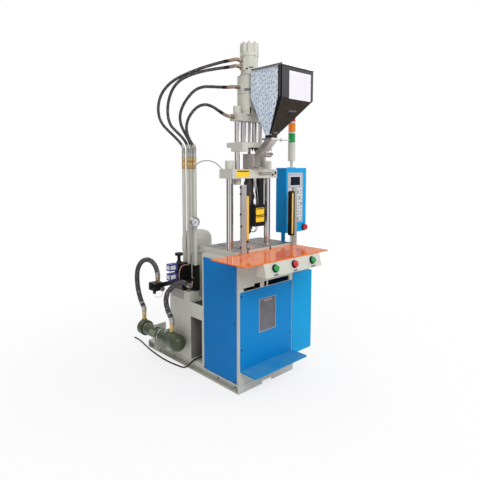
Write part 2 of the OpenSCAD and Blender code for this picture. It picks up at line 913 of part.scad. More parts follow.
module hopper_solid(inset) {
    x0 = hopper_x0 + inset;
    x1 = hopper_x1 - inset;
    y0 = hopper_y0 + inset;
    y1 = hopper_y1 - inset;
    half = outlet_w / 2 - inset;
    back_z = fold_z + fold_rise;
    hull() {
        outlet_block(2 * half, outlet_z, outlet_z + 0.5);
        block([x0, y0, fold_z], [x1, y0 + 0.5, fold_z + 1]);
        block([x0, y1 - 0.5, back_z], [x1, y1, back_z + 1]);
    }
    hull() {
        block([x0, y0, fold_z], [x1, y0 + 0.5, fold_z + 1]);
        block([x0, y1 - 0.5, back_z], [x1, y1, back_z + 1]);
        block([x0, y0, hopper_top - 1], [x1, y1, hopper_top]);
    }
}

lid_t = 2;
lid_lap = 8;
lid_skirt = 10;
hinge_d = 7;
hinge_pin = 3;
knuckle = 30;
hinge_x = (hopper_x0 + hopper_x1) / 2;
hinge_y = hopper_y1 + hinge_d / 2 + slack;
hinge_z = hopper_top + lid_t / 2;

module hopper() {
    color("lightsteelblue") {
        difference() {
            hopper_solid(0);
            hopper_solid(hopper_t);
            block([hopper_x0 + hopper_t, hopper_y0 + hopper_t, hopper_top - 2],
                [hopper_x1 - hopper_t, hopper_y1 - hopper_t, hopper_top + 1]);
            outlet_block(outlet_w - 2 * hopper_t, outlet_z - 1, outlet_z + 0.2);
        }
        for (side = [-1, 1])
            translate([hinge_x + side * knuckle, 0, 0]) {
                bar_x(hinge_d, -knuckle / 2, knuckle / 2, hinge_y, hinge_z);
                block([-knuckle / 2, hopper_y1 - 0.5, hopper_top - 12],
                    [knuckle / 2, hinge_y, hopper_top]);
            }
        bar_x(hinge_pin, hinge_x - knuckle, hinge_x + knuckle, hinge_y, hinge_z);
    }
}

module hopper_lid() {
    a = [hopper_x0 - lid_lap, hopper_y0 - lid_lap, hopper_top];
    b = [hopper_x1 + lid_lap, hopper_y1, hopper_top + lid_t];
    skirt_z = hopper_top - lid_skirt;
    half = knuckle / 2 - slack;
    color("gainsboro")
        difference() {
            union() {
                block(a, b);
                block([a.x, a.y, skirt_z], [a.x + hopper_t, hopper_y1 - 12, hopper_top]);
                block([b.x - hopper_t, a.y, skirt_z], [b.x, hopper_y1 - 12, hopper_top]);
                block([a.x, a.y, skirt_z], [b.x, a.y + hopper_t, hopper_top]);
                block([hinge_x - half, hopper_y1 - 1, hopper_top], [hinge_x + half, hinge_y, b.z]);
                bar_x(hinge_d, hinge_x - half, hinge_x + half, hinge_y, hinge_z);
            }
            bar_x(hinge_pin + 2 * fit, hinge_x - half - 1, hinge_x + half + 1, hinge_y, hinge_z);
        }
}

module table_board() {
    color("orangered")
        block([board_x0, board_y0, board_z], [board_x0 + board_w, board_y1, board_top]);
}

console_in = 60;

module console_profile(inset) {
    polygon([[console_y + inset, console_top - inset],
        [console_y - console_lean + inset, console_top - console_h + inset],
        [console_y + console_in - inset, console_top - console_h + inset],
        [console_y + console_in - inset, console_top - inset]]);
}

button_z = console_h * 0.44;
shroud_d = button_d + 14;

// Puts its children on the console's face, with +Z pointing out of it
module on_console(x) {
    translate([x, console_y - console_lean * button_z / console_h, console_top - button_z])
        rotate([90 - lean, 0, 0])
            children();
}

module button_console() {
    color("antiquewhite") {
        difference() {
            translate([-console_w / 2, 0, 0])
                rotate([90, 0, 90])
                    linear_extrude(console_w)
                        console_profile(0);
            translate([-console_w / 2 + 2, 0, 0])
                rotate([90, 0, 90])
                    linear_extrude(console_w - 4)
                        console_profile(2);
            for (k = [-1, 0, 1])
                on_console(k * button_gap)
                    translate([0, 0, -6])
                        cylinder(d = button_d - 14 + 2 * slack, h = 12);
        }
        for (side = [0, 1])
            mirror([side, 0, 0])
                block([200, console_y + console_in, cab_top], [230, table_y0 - 4, console_top]);
    }
}

collar_bore = button_d - 14 + 2 * slack;

module button_collars() {
    color("black") {
        for (k = [-1, 0, 1])
            on_console(k * button_gap)
                difference() {
                    cylinder(d = shroud_d, h = button_collar_h);
                    translate([0, 0, -1])
                        cylinder(d = collar_bore, h = button_collar_h + 2);
                }
        difference() {
            bar_y(52, box_y - button_collar_h, box_y, estop_x, estop_z);
            bar_y(collar_bore, box_y - button_collar_h - 1, box_y + 1, estop_x, estop_z);
        }
    }
}

module push_button(x) {
    on_console(x) {
        translate([0, 0, -1])
            cylinder(d = button_d - 14, h = button_travel + button_collar_h + 2);
        translate([0, 0, button_travel + button_collar_h])
            cylinder(d = button_d, h = 14);
    }
}

module left_button() {
    color("green")
        push_button(-button_gap);
}

module stop_button() {
    color("red")
        push_button(0);
}

module right_button() {
    color("green")
        push_button(button_gap);
}

left_post_x = -196;
left_post_h = 478;
right_post_x = 345;
right_post_h = 447;

// A bar standing in the posts' row, from and to a height above the board
module upright(x, w, from, to) {
    block([x, post_y, board_top + from], [x + w, post_y + post_d, board_top + to]);
}

module curtain_posts() {
    color("silver") {
        upright(left_post_x, post_w, 0, left_post_h);
        upright(right_post_x, post_w, 0, right_post_h);
    }
}

module light_curtains() {
    color("gold") {
        upright(left_post_x + post_w, 24, 76, 401);
        upright(right_post_x - 42, 42, 79, 420);
    }
}

module control_box() {
    color("deepskyblue") {
        difference() {
            block([box_x, box_y, box_z], [box_x + box_w, box_y + box_d, box_top]);
            block([box_x + cab_wall, box_y + cab_wall, box_z + cab_wall],
                [box_x + box_w - cab_wall, box_y + box_d - cab_wall, box_top - cab_wall]);
            bar_y(collar_bore, box_y - 1, box_y + cab_wall + 1, estop_x, estop_z);
        }
        block([table_x1, box_y + 5, cab_top + 6], [table_x1 + 6, box_y + 43, box_z + 60]);
    }
}

keypad_in = 16;
keypad_up = 77;
keypad_w = 186;
keypad_h = 400;

module keypad_panel() {
    color("lightgray")
        translate([box_x + keypad_in, box_y - 3, box_z + keypad_up])
            cube([keypad_w, 3, keypad_h]);
}

estop_x = box_x + 220;
estop_z = box_z + 33;

module emergency_stop() {
    cap_y = box_y - button_collar_h - button_travel;
    color("red") {
        bar_y(button_d - 14, cap_y - 8, box_y + 1, estop_x, estop_z);
        bar_y(44, cap_y - 20, cap_y, estop_x, estop_z);
    }
}

// Lower ends of the three lenses
lens_z = [for (k = [0 : 2]) box_top + 202 + k * (lens_h + 10)];

module signal_tower() {
    body_z = box_top + 54;
    color("antiquewhite") {
        bar(70, box_top, box_top + 6, tower_x, tower_y);
        bar(22, box_top + 6, body_z, tower_x, tower_y);
        bar(tower_d, body_z, lens_z[0] - slack, tower_x, tower_y);
    }
}

module tower_lenses() {
    for (k = [0 : 2])
        color(["green", "orange", "red"][k])
            bar(tower_d, lens_z[k], lens_z[k] + lens_h, tower_x, tower_y);
    color("antiquewhite") {
        for (k = [0 : 1])
            bar(tower_d - 4, lens_z[k] + lens_h, lens_z[k + 1], tower_x, tower_y);
        bar(tower_d, lens_z[2] + lens_h, lens_z[2] + lens_h + 10, tower_x, tower_y);
    }
}

recess_in = 120;
// Where the cream foot under the valve block ends and the black one begins
foot_y = 63;

module oil_tank() {
    ry = [tank_y0 + 10, tank_y0 + 146];
    rz = [channel_h + 18, tank_top - 114];
    w = cab_wall;
    color("antiquewhite") {
        difference() {
            block([-tank_x, tank_y0, channel_h], [tank_x, tank_y1, tank_top]);
            difference() {
                block([w - tank_x, tank_y0 + w, channel_h + w], [tank_x - w, tank_y1 - w, tank_top - w]);
                block([-tank_x, ry[0] - w, rz[0] - w], [-tank_x + recess_in + w, ry[1] + w, rz[1] + w]);
            }
            block([-tank_x - 1, ry[0], rz[0]], [-tank_x + recess_in, ry[1], rz[1]]);
        }
        block([-tank_x, valve_y0 + 12, tank_top], [valve_x1, foot_y, valve_z]);
    }
}

module electric_motor() {
    color("antiquewhite") {
        bar(emotor_d + 30, tank_top, tank_top + 16, emotor_x, emotor_y);
        bar(emotor_d, tank_top + 16, tank_top + emotor_h, emotor_x, emotor_y);
        translate([emotor_x, emotor_y, tank_top + emotor_h])
            rotate_extrude()
                polygon(concat([[0, 0], [cowl_d / 2, 0], [cowl_d / 2, cowl_h - 70]],
                    [for (a = [10 : 10 : 80])
                        [cowl_d / 2 - 60 + 60 * cos(a), cowl_h - 70 + 70 * sin(a)]],
                    [[0, cowl_h]]));
    }
}

// The stacked valves beside the block, from the left end to the block
stack_x = valve_x0 - 88;
stack_y0 = 78;
stack_y1 = 142;
stack_z = valve_z + 72;
plate_h = 44;
knob_x = stack_x + 30;
knob_y = (stack_y0 + stack_y1) / 2;
knob_z = valve_top + 30;
filter_x = -307;
filter_y = 399;
filter_z = 576;

module valve_block() {
    color("black") {
        block([valve_x0, valve_y0, valve_z], [valve_x1, valve_y1, valve_top]);
        block([-tank_x, foot_y + 1, tank_top], [valve_x1, tank_y1 - 14, valve_z]);
        block([stack_x, stack_y0, stack_z], [valve_x0, stack_y1, stack_z + 18]);
        for (z = [21, 94])
            block([stack_x, stack_y0, stack_z + z], [valve_x0, stack_y1, stack_z + z + plate_h]);
        block([stack_x + 6, stack_y0 + 4, stack_z + 8], [valve_x0, stack_y1 - 4, valve_top]);
        translate([knob_x, knob_y, valve_top - 1])
            cylinder(d1 = stack_y1 - stack_y0 - 4, d2 = 32, h = knob_z - valve_top + 1);
        bar_x(boss_d - 4, hose_b[0].x, valve_x0, hose_b[0].y, hose_b[0].z);
        suction_arm();
        translate([filter_x, filter_y, filter_z])
            block([-45, -47, -31], [45, 47, 30]);
        bar_y(40, filter_y - 60, filter_y - 46, filter_x + 24, filter_z - 20);
        bar_x(26, filter_x - 60, filter_x - 44, filter_y + 5, filter_z + 4);
        bar(26, filter_z - 60, filter_z - 30, filter_x - 20, filter_y);
    }
}

// The pipe that climbs from the filter to the stacked valves
module suction_arm() {
    x = valve_x0 - 40;
    from = [x, filter_y - 20, filter_z + 6];
    to = [x, knob_y, stack_z];
    run = to - from;
    translate(from)
        rotate([atan2(-run.y, run.z), 0, 0])
            cylinder(d = 38, h = norm(run));
}

module solenoid_coils() {
    color("slateblue")
        for (z = [43, 116])
            block([stack_x - 72, stack_y0 + 6, stack_z + z - 27],
                [stack_x, stack_y1 - 6, stack_z + z + 27]);
}

module relief_knob() {
    color("black") {
        bar(26, knob_z + slack, knob_z + 42, knob_x, knob_y);
        bar(62, knob_z + 42, knob_z + 62, knob_x, knob_y);
    }
}

module riser_pipes() {
    color("antiquewhite")
        for (y = riser_y)
            bar(riser_d, valve_top, riser_top, riser_x, y);
}

module hose_fittings() {
    color("goldenrod") {
        for (y = riser_y) {
            bar(30, riser_top, riser_top + 85, riser_x, y);
            bar(27, riser_top + 85, hose_1[len(hose_1) - 1].z, riser_x, y);
        }
        for (y = [port_a, port_b])
            bar(union_d, boss_top, union_top, cooler_x, y);
        bar(union_d, filter_z + 30, hose_a[0].z, hose_a[0].x, hose_a[0].y);
    }
}

module pressure_gauge() {
    color("silver") {
        difference() {
            bar_y(gauge_d, gauge_y, gauge_y + 28, gauge_x, gauge_z);
            bar_y(gauge_d - 8, gauge_y - 1, gauge_y + 8, gauge_x, gauge_z);
        }
        bar_y(9, gauge_y + 28, riser_y[3], gauge_x, gauge_z);
        bar(9, valve_z + 100, gauge_z, gauge_x, riser_y[3]);
        bar_x(9, gauge_x - 4.5, valve_x0, riser_y[3], valve_z + 104.5);
        bar_x(9, gauge_x, riser_x - riser_d / 2, riser_y[3], gauge_z);
    }
}

module gauge_needle() {
    color("black")
        translate([gauge_x, gauge_y, gauge_z])
            rotate([0, -135, 0]) {
                bar_y(6, 3, 8 - slack, 0, 0);
                block([-1, 3, -8], [1, 4, gauge_d / 2 - 9]);
            }
}

module oil_cooler() {
    color("darkolivegreen") {
        bar_y(cooler_d, 139, cooler_y1 + 1, cooler_x, cooler_z);
        bar_y(cooler_cap_d, cooler_y1, cooler_y1 + 58, cooler_x, cooler_z);
        bar_y(cooler_cap_d, cooler_y0, 140, cooler_x, cooler_z);
        for (y = [port_a, port_b])
            bar(boss_d, cooler_z + 40, boss_top, cooler_x, y);
        translate([cooler_x, cooler_y0, cooler_z])
            rotate([90, 0, 0])
                rotate_extrude()
                    polygon(concat([[0, 0], [cooler_cap_d / 2 + 4, 0]],
                        [for (a = [0 : 10 : 80])
                            [(cooler_cap_d / 2 + 4) * cos(a), 24 + 58 * sin(a)]],
                        [[0, 82]]));
    }
}

bracket_y = [180, 330];
bracket_t = 6;

module cooler_brackets() {
    color("antiquewhite")
        difference() {
            union() {
                block([cooler_x - 20, bracket_y[0], cooler_z - 6],
                    [-tank_x, bracket_y[0] + bracket_t, cooler_z + 70]);
                block([cooler_x - 20, bracket_y[1], channel_h],
                    [-base_w / 2 + 20, bracket_y[1] + bracket_t, cooler_z + 70]);
            }
            bar_y(cooler_d + 2 * slack, bracket_y[0] - 1, bracket_y[1] + bracket_t + 1,
                cooler_x, cooler_z);
        }
}

module tower_hoses() {
    color("black")
        for (route = [hose_1, hose_2, hose_3, hose_4])
            swept(route, hose_d, hose_facing);
}

module cooler_hoses() {
    color("black") {
        swept(hose_a, cooler_hose_d, hose_facing);
        swept(hose_b, cooler_hose_d, hose_facing);
    }
}

module power_cable() {
    color("black")
        swept(cable, cable_d, cable_facing);
}

module hydraulic_motor() {
    color("antiquewhite")
        difference() {
            union() {
                bar(motor_d + 14, motor_z, motor_z + 12);
                bar(motor_d, motor_z + 12, cap_z - 16);
                translate([0, axis_y, cap_z - 16])
                    cylinder(d1 = motor_d, d2 = motor_cap_d - 6, h = 16);
                block([-motor_d / 2 - 14, axis_y - port_w / 2, motor_z + 40],
                    [0, axis_y + port_w / 2, cap_z - 20]);
                for (route = [hose_1, hose_2])
                    bar_x(26, route[0].x, -motor_d / 2, axis_y, route[0].z);
            }
            bar(shank_d + 2 * fit, motor_z - 1, cap_z + 1);
        }
}

module motor_cap() {
    color("antiquewhite") {
        difference() {
            bar(motor_cap_d, cap_z, cap_z + motor_cap_h);
            bar(shank_d + 2 * fit, cap_z - 1, cap_z + 30);
            for (k = [0 : cap_bolts - 1])
                rotate_about_axis(360 * (k + 0.5) / cap_bolts)
                    translate([motor_cap_d / 2 + 6, 0, cap_z + 24])
                        cylinder(d = 34, h = motor_cap_h);
        }
        for (k = [0 : cap_bolts - 1])
            rotate_about_axis(360 * k / cap_bolts)
                translate([motor_cap_d / 2 - 12, 0, cap_z + motor_cap_h - 2])
                    cylinder(d = 16, h = 14);
    }
}

module rotate_about_axis(angle) {
    translate([0, axis_y, 0])
        rotate([0, 0, angle])
            children();
}

base_frame();
cabinet_frame();
side_panels();
front_panel();
step_plate();
switch_cabinet();
machine_table();
tie_bar_bushes();
tie_bars();
crosshead();
rod_nuts();
lower_yoke();
clamp_cylinder();
clamp_rod();
guide_rods();
top_plate();
injection_cylinder();
injection_piston();
injection_plate();
hydraulic_motor();
motor_cap();
screw();
barrel();
heater_bands();
nozzle();
barrel_cover();
feed_block();
feed_chute();
chute_plug();
gate_housing();
slide_gate();
hopper();
hopper_lid();
table_board();
button_console();
button_collars();
left_button();
stop_button();
right_button();
curtain_posts();
light_curtains();
control_box();
keypad_panel();
emergency_stop();
signal_tower();
tower_lenses();
oil_tank();
electric_motor();
valve_block();
solenoid_coils();
relief_knob();
riser_pipes();
hose_fittings();
pressure_gauge();
gauge_needle();
oil_cooler();
cooler_brackets();
tower_hoses();
cooler_hoses();
power_cable();
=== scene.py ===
import json
import math

import bmesh
import bpy
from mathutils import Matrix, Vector


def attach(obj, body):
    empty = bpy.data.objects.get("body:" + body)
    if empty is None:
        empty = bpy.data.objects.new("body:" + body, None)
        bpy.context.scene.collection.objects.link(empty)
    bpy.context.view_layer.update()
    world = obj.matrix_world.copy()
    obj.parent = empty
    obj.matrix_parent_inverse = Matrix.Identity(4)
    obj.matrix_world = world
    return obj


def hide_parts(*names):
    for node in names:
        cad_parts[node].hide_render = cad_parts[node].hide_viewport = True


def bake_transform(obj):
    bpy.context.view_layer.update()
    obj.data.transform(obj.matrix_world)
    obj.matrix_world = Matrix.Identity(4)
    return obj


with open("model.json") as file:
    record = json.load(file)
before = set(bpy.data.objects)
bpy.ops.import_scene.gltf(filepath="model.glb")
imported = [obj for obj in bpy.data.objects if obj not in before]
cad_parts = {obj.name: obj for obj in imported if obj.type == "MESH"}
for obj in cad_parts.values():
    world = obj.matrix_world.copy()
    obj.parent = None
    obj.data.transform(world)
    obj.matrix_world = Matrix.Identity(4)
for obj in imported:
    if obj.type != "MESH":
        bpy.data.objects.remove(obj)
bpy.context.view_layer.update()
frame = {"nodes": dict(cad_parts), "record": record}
bodyOf = {node: body for body, nodes in frame["record"]["behaviour"]["bodies"].items() for node in nodes}
print("frame loaded")

# Camera at the photo's viewpoint; the picture is taken as 480 x 480
cameraSettings = {"place": (-2.2553, -2.7037, 1.55), "azimuth": -43.387, "down": 5.533, "focal": 443.03,
                  "centre": (242.81, 210.70), "picture": 480, "sensor": 36, "reach": 60}


def newObject(name, data):
    made = bpy.data.objects.new(name, data)
    bpy.context.scene.collection.objects.link(made)
    return made


# A camera or lamp turned to look along a direction
def aim(thing, look):
    thing.rotation_mode = "QUATERNION"
    thing.rotation_quaternion = look.to_track_quat("-Z", "Y")


def placeCamera(settings):
    data = bpy.data.cameras.new("camera")
    camera = newObject("camera", data)
    bpy.context.scene.camera = camera
    side, down = math.radians(settings["azimuth"]), math.radians(settings["down"])
    camera.location = settings["place"]
    aim(camera, Vector((-math.sin(side) * math.cos(down), math.cos(side) * math.cos(down), -math.sin(down))))
    data.sensor_width = settings["sensor"]
    data.lens = settings["focal"] / settings["picture"] * settings["sensor"]
    middle = settings["picture"] / 2
    data.shift_x = (middle - settings["centre"][0]) / settings["picture"]
    data.shift_y = (settings["centre"][1] - middle) / settings["picture"]
    data.clip_end = settings["reach"]


placeCamera(cameraSettings)


def toLinear(hexColour):
    values = [int(hexColour[i:i + 2], 16) / 255 for i in (1, 3, 5)]
    return tuple(v / 12.92 if v <= 0.04045 else ((v + 0.055) / 1.055) ** 2.4 for v in values) + (1.0,)


# An input takes a value or another node's output
def setInputs(tree, node, inputs):
    for name, value in inputs.items():
        if isinstance(value, bpy.types.NodeSocket):
            tree.links.new(value, node.inputs[name])
        else:
            node.inputs[name].default_value = value


def addNode(tree, kind, settings=None, inputs=None):
    node = tree.nodes.new(kind)
    for name, value in (settings or {}).items():
        setattr(node, name, value)
    setInputs(tree, node, inputs or {})
    return node


# These make one kind of node each and return what it gives
def addMaths(tree, operation, *values):
    return addNode(tree, "ShaderNodeMath", {"operation": operation}, dict(enumerate(values))).outputs[0]


def addNoise(tree, place, scale, detail=2.0, roughness=0.5):
    return addNode(tree, "ShaderNodeTexNoise", inputs={
        "Vector": place, "Scale": scale, "Detail": detail, "Roughness": roughness}).outputs["Fac"]


def addRange(tree, value, start=(0.0, 1.0), end=(0.0, 1.0), kind="LINEAR"):
    return addNode(tree, "ShaderNodeMapRange", {"interpolation_type": kind}, {
        "Value": value, "From Min": start[0], "From Max": start[1],
        "To Min": end[0], "To Max": end[1]}).outputs["Result"]


def addMapping(tree, place, scale, rotation=(0.0, 0.0, 0.0)):
    return addNode(tree, "ShaderNodeMapping", inputs={
        "Vector": place, "Rotation": rotation, "Scale": scale}).outputs["Vector"]


def addColours(tree, amount, first, second):
    ends = [toLinear(colour) if isinstance(colour, str) else colour for colour in (first, second)]
    return addNode(tree, "ShaderNodeMix", {"data_type": "RGBA"}, {0: amount, 6: ends[0], 7: ends[1]}).outputs[2]


def addBump(tree, height, strength, distance):
    return addNode(tree, "ShaderNodeBump", inputs={
        "Height": height, "Strength": strength, "Distance": distance}).outputs["Normal"]


def addMixShader(tree, amount, first, second):
    return addNode(tree, "ShaderNodeMixShader", inputs={0: amount, 1: first, 2: second}).outputs[0]


def newMaterial(name):
    material = bpy.data.materials.new(name)
    material.use_nodes = True
    tree = material.node_tree
    tree.nodes.clear()
    shader = addNode(tree, "ShaderNodeBsdfPrincipled")
    addNode(tree, "ShaderNodeOutputMaterial", inputs={"Surface": shader.outputs["BSDF"]})
    return tree, shader


# Grain is the size in mm of the finest pattern, and stretch draws it out along an axis, as
# brushing does. Patches are slow changes of colour over about 120 mm.
finishSettings = {"grainDetail": 4.0, "patchScale": 8.0, "patchDetail": 5.0, "patchRoughness": 0.62,
                  "patchRange": (0.35, 0.75), "bumpDepth": 0.0006, "coatRoughness": 0.12}


def surfaceFinish(name, colour, shade, roughness, grain, bump, metallic=0.0, stretch=(1, 1, 1), spread=0.08,
                  patches=0.5, coat=0.0, ior=1.5):
    settings = finishSettings
    tree, shader = newMaterial(name)
    place = addNode(tree, "ShaderNodeTexCoord").outputs["Object"]
    fine = addNoise(tree, addMapping(tree, place, stretch), 1000 / grain / 4, settings["grainDetail"])
    slow = addNoise(tree, place, settings["patchScale"], settings["patchDetail"], settings["patchRoughness"])
    amount = addRange(tree, slow, settings["patchRange"], (0.0, patches))
    setInputs(tree, shader, {
        "Base Color": addColours(tree, amount, colour, shade), "Metallic": metallic,
        "Roughness": addRange(tree, fine, end=(roughness - spread / 2, roughness + spread)),
        "Normal": addBump(tree, fine, bump, settings["bumpDepth"]),
        "Coat Weight": coat, "Coat Roughness": settings["coatRoughness"]})
    if not metallic:
        setInputs(tree, shader, {"IOR": ior})


# Each finish: two colours, roughness, grain, bump and what else differs from a plain finish
finishes = {
    # Stove enamel sprayed on sheet and castings: satin, a faint orange peel, greyer where handled
    "machineEnamel": ("#c8c8bf", "#b9b9af", 0.42, 3, 0.1, dict(coat=0.12)),
    # The same enamel on rough iron castings, with a coarser skin
    "castEnamel": ("#c6c6bc", "#b2b2a7", 0.46, 6, 0.28, dict(coat=0.1)),
    # Painted shade inside the tank's recess: a flat dark grey against the enamel round it
    "greyPrimer": ("#77746f", "#605d59", 0.75, 3, 0.2),
    # Deep blue enamel of the side sheet, painted darker than the front sheet as shade on that side, with a fine
    # leathery texture
    "shadedSideBlueEnamel": ("#0078c4", "#006cb4", 0.5, 2, 0.35, dict(patches=0.35, ior=1.26)),
    # Mid blue enamel of the front sheet and the step, also used on the control box as the darker blue of painted
    # shade
    "panelEnamel": ("#0083c8", "#0079ba", 0.5, 2, 0.35, dict(patches=0.35, ior=1.26)),
    # Sky blue enamel of the switch cabinet and the control box
    "skyEnamel": ("#009bd8", "#0090ca", 0.48, 2, 0.3, dict(patches=0.3, ior=1.26)),
    # The step's upper face, greyer and more mottled than its sides
    "wornEnamel": ("#1d86c4", "#4f93b8", 0.55, 5, 0.5, dict(patches=0.9, ior=1.3)),
    # Dark green gloss enamel over a cast and rolled shell
    "greenEnamel": ("#47503a", "#333d29", 0.3, 5, 0.2, dict(coat=0.1, ior=1.35)),
    # Olive enamelled plate, a little paler than the shell under it
    "oliveEnamel": ("#7f866c", "#6c735a", 0.4, 4, 0.05),
    # Black enamel, dusty in places
    "blackEnamel": ("#121214", "#232120", 0.42, 4, 0.2, dict(ior=1.3)),
    # Ground steel plate: fine grinding lines along X under a film of oil
    "groundSteel": ("#8e8c8a", "#716f6d", 0.42, 1.2, 0.12, dict(metallic=0.75, stretch=(0.04, 1, 1))),
    # Cast and machined steel of the feed block, rougher
    "castSteel": ("#d6cfca", "#9c938e", 0.4, 3, 0.25, dict(metallic=0.8)),
    # Turned steel, lines round the Z axis show as faint horizontal bands
    "turnedSteel": ("#5a5655", "#38343a", 0.33, 1.2, 0.12, dict(metallic=0.9, stretch=(0.05, 0.05, 1))),
    # Hard chrome on ground bars: near mirror, with an oily tint
    "hardChrome": ("#d9d6d6", "#b9b2b3", 0.09, 1.5, 0.01, dict(metallic=1.0, spread=0.05)),
    # Number 4 stainless sheet: brushed down the fall of the hopper
    "brushedStainless": ("#dad5d2", "#aaa39f", 0.3, 1.2, 0.08, dict(metallic=0.95, stretch=(1, 1, 0.03))),
    # Polished stainless sheet, painted darker as a painted reflection of a dark workshop
    "polishedStainless": ("#685f58", "#544a42", 0.24, 8, 0.02, dict(metallic=0.75, patches=0.9)),
    # The same sheet standing upright, painted nearly black as a painted reflection of the dark end of the room
    "uprightStainless": ("#17161d", "#211f27", 0.3, 8, 0.02, dict(metallic=0.4, patches=0.9)),
    # Machined brass unions, dulled
    "dullBrass": ("#d9bd86", "#b39560", 0.34, 1.5, 0.06, dict(metallic=0.85)),
    # Bronzed crimp sleeves at the hoses' ends
    "bronzedSteel": ("#a48f80", "#7f6a5e", 0.34, 1.5, 0.06, dict(metallic=0.7)),
    # Zinc plated steel ferrules and screws, slightly yellow
    "zincPlate": ("#b8b6b0", "#9a978f", 0.3, 1.5, 0.05, dict(metallic=0.9)),
    # Natural anodised aluminium extrusion
    "anodisedAluminium": ("#c6c5c4", "#b4b3b3", 0.4, 1, 0.06, dict(metallic=0.6, stretch=(1, 1, 0.03))),
    # Orange acrylic sheet, tinted by what it stands over
    "orangeAcrylic": ("#ee7a20", "#e2652a", 0.07, 12, 0, dict(patches=0.8, spread=0.03, ior=1.36)),
    # Gold painted face of the optic bars, and the amber window in it, painted paler than the gold as a highlight down
    # the bar's middle
    "goldEnamel": ("#e3ab35", "#b9821c", 0.3, 2, 0.08),
    "amberWindow": ("#f0cf6a", "#e6bb4c", 0.2, 6, 0, dict(coat=0.3)),
    # Thin vinyl of bare plates
    "yellowVinyl": ("#f5cc14", "#e9bd10", 0.45, 3, 0.03, dict(patches=0.3)),
    "whiteVinyl": ("#dad8de", "#cfcdd6", 0.4, 4, 0.03, dict(patches=0.4)),
    # Etched plate: a mottled grey field inside a paler rim
    "etchedPlate": ("#76747a", "#5b5a62", 0.42, 5, 0.2, dict(metallic=0.3, patches=0.9)),
    "palePlate": ("#b3aeae", "#a5a1a1", 0.36, 2, 0.05, dict(metallic=0.4)),
    # Moulded plastics, with a slight sheen: housings, push buttons, coils, panel and keys
    "blackPlastic": ("#121214", "#1d1c1c", 0.4, 1.2, 0.12, dict(ior=1.3)),
    "greenPlastic": ("#179a4b", "#0f8540", 0.26, 3, 0.02, dict(coat=0.3)),
    "redPlastic": ("#d0211f", "#b21817", 0.26, 3, 0.02, dict(coat=0.3)),
    "coilPlastic": ("#3a4684", "#2a3468", 0.4, 2, 0.1),
    "panelPlastic": ("#aeb2b8", "#a2a6ad", 0.4, 1.5, 0.06, dict(patches=0.3)),
    "keyPlastic": ("#dcdee0", "#cccfd2", 0.36, 1.5, 0.04),
    # Dark glass of the display, with the display itself behind it
    "screenGlass": ("#141a28", "#222a3a", 0.1, 20, 0, dict(patches=0.8, coat=0.5)),
    # Sheath of the cable and of the thin leads
    "cableSheath": ("#151617", "#222224", 0.5, 2, 0.1, dict(ior=1.3)),
    # Enamelled dial
    "dialEnamel": ("#e6edf6", "#d6e0ec", 0.3, 8, 0, dict(coat=0.4)),
    # Open threads, slots and seams seen from outside: black painted shade of a hollow, with dust at the rim
    "darkHollow": ("#0d0d0e", "#1b1a19", 0.6, 3, 0.2),
    # Copper coloured lead with a lacquered skin
    "pinkLead": ("#c98f8a", "#a8706c", 0.4, 2, 0.05),
}
for finish, (colour, shade, roughness, grain, bump, *others) in finishes.items():
    surfaceFinish(finish, colour, shade, roughness, grain, bump, **dict(*others))
print("plain finishes made")

# Peelable film on stainless sheet: pale blue grey, streaked down the sheet, with slanted
# rows of small blue dashes, 16 mm apart across and 34 mm down
filmSettings = {"ground": "#f4f6fa", "streak": "#b4c4d6", "dash": "#5585ba", "pitch": (0.016, 0.034),
                "dashSize": 0.21, "slant": 0.25, "scatter": 0.6, "drawn": (1.0, 1.0, 0.18), "streakScale": 45.0,
                "roughness": 0.32, "coat": 0.25}


def makeProtectiveFilm(settings):
    tree, shader = newMaterial("protectiveFilm")
    place = addNode(tree, "ShaderNodeTexCoord").outputs["Object"]
    streak = addNoise(tree, addMapping(tree, place, settings["drawn"]), settings["streakScale"], 5.0)
    parts = addNode(tree, "ShaderNodeSeparateXYZ", inputs={"Vector": place}).outputs
    flat = addNode(tree, "ShaderNodeCombineXYZ", inputs={"X": parts["Y"], "Y": parts["Z"]}).outputs[0]
    across, down = settings["pitch"]
    grid = addMapping(tree, flat, (1 / across, 1 / down, 1.0), (0.0, 0.0, settings["slant"]))
    dashes = addNode(tree, "ShaderNodeTexVoronoi", {"voronoi_dimensions": "2D"}, {
        "Vector": grid, "Scale": 1.0, "Randomness": settings["scatter"]})
    isDash = addMaths(tree, "LESS_THAN", dashes.outputs["Distance"], settings["dashSize"])
    streaked = addColours(tree, streak, settings["ground"], settings["streak"])
    setInputs(tree, shader, {"Base Color": addColours(tree, isDash, streaked, settings["dash"]),
                             "Roughness": settings["roughness"], "Coat Weight": settings["coat"]})


# Hose cover: black rubber with wrap marks and pale flecks in rows of print along it. Rows are
# counted in turns round the hose: how often they come back, and where and how wide they are.
hoseSettings = {"cover": "#2a282a", "worn": "#4b464a", "wornScale": 18.0, "fleck": "#b9b6ba", "fleckPitch": 0.014,
                "flecksRound": 5.0, "fleckSize": 0.24, "rowsApart": 0.17, "rowPlace": 0.085, "rowWidth": 0.035,
                "wrapPitch": 0.004, "wrapDepth": 0.0004, "wrapBump": 0.25, "roughness": 0.48}


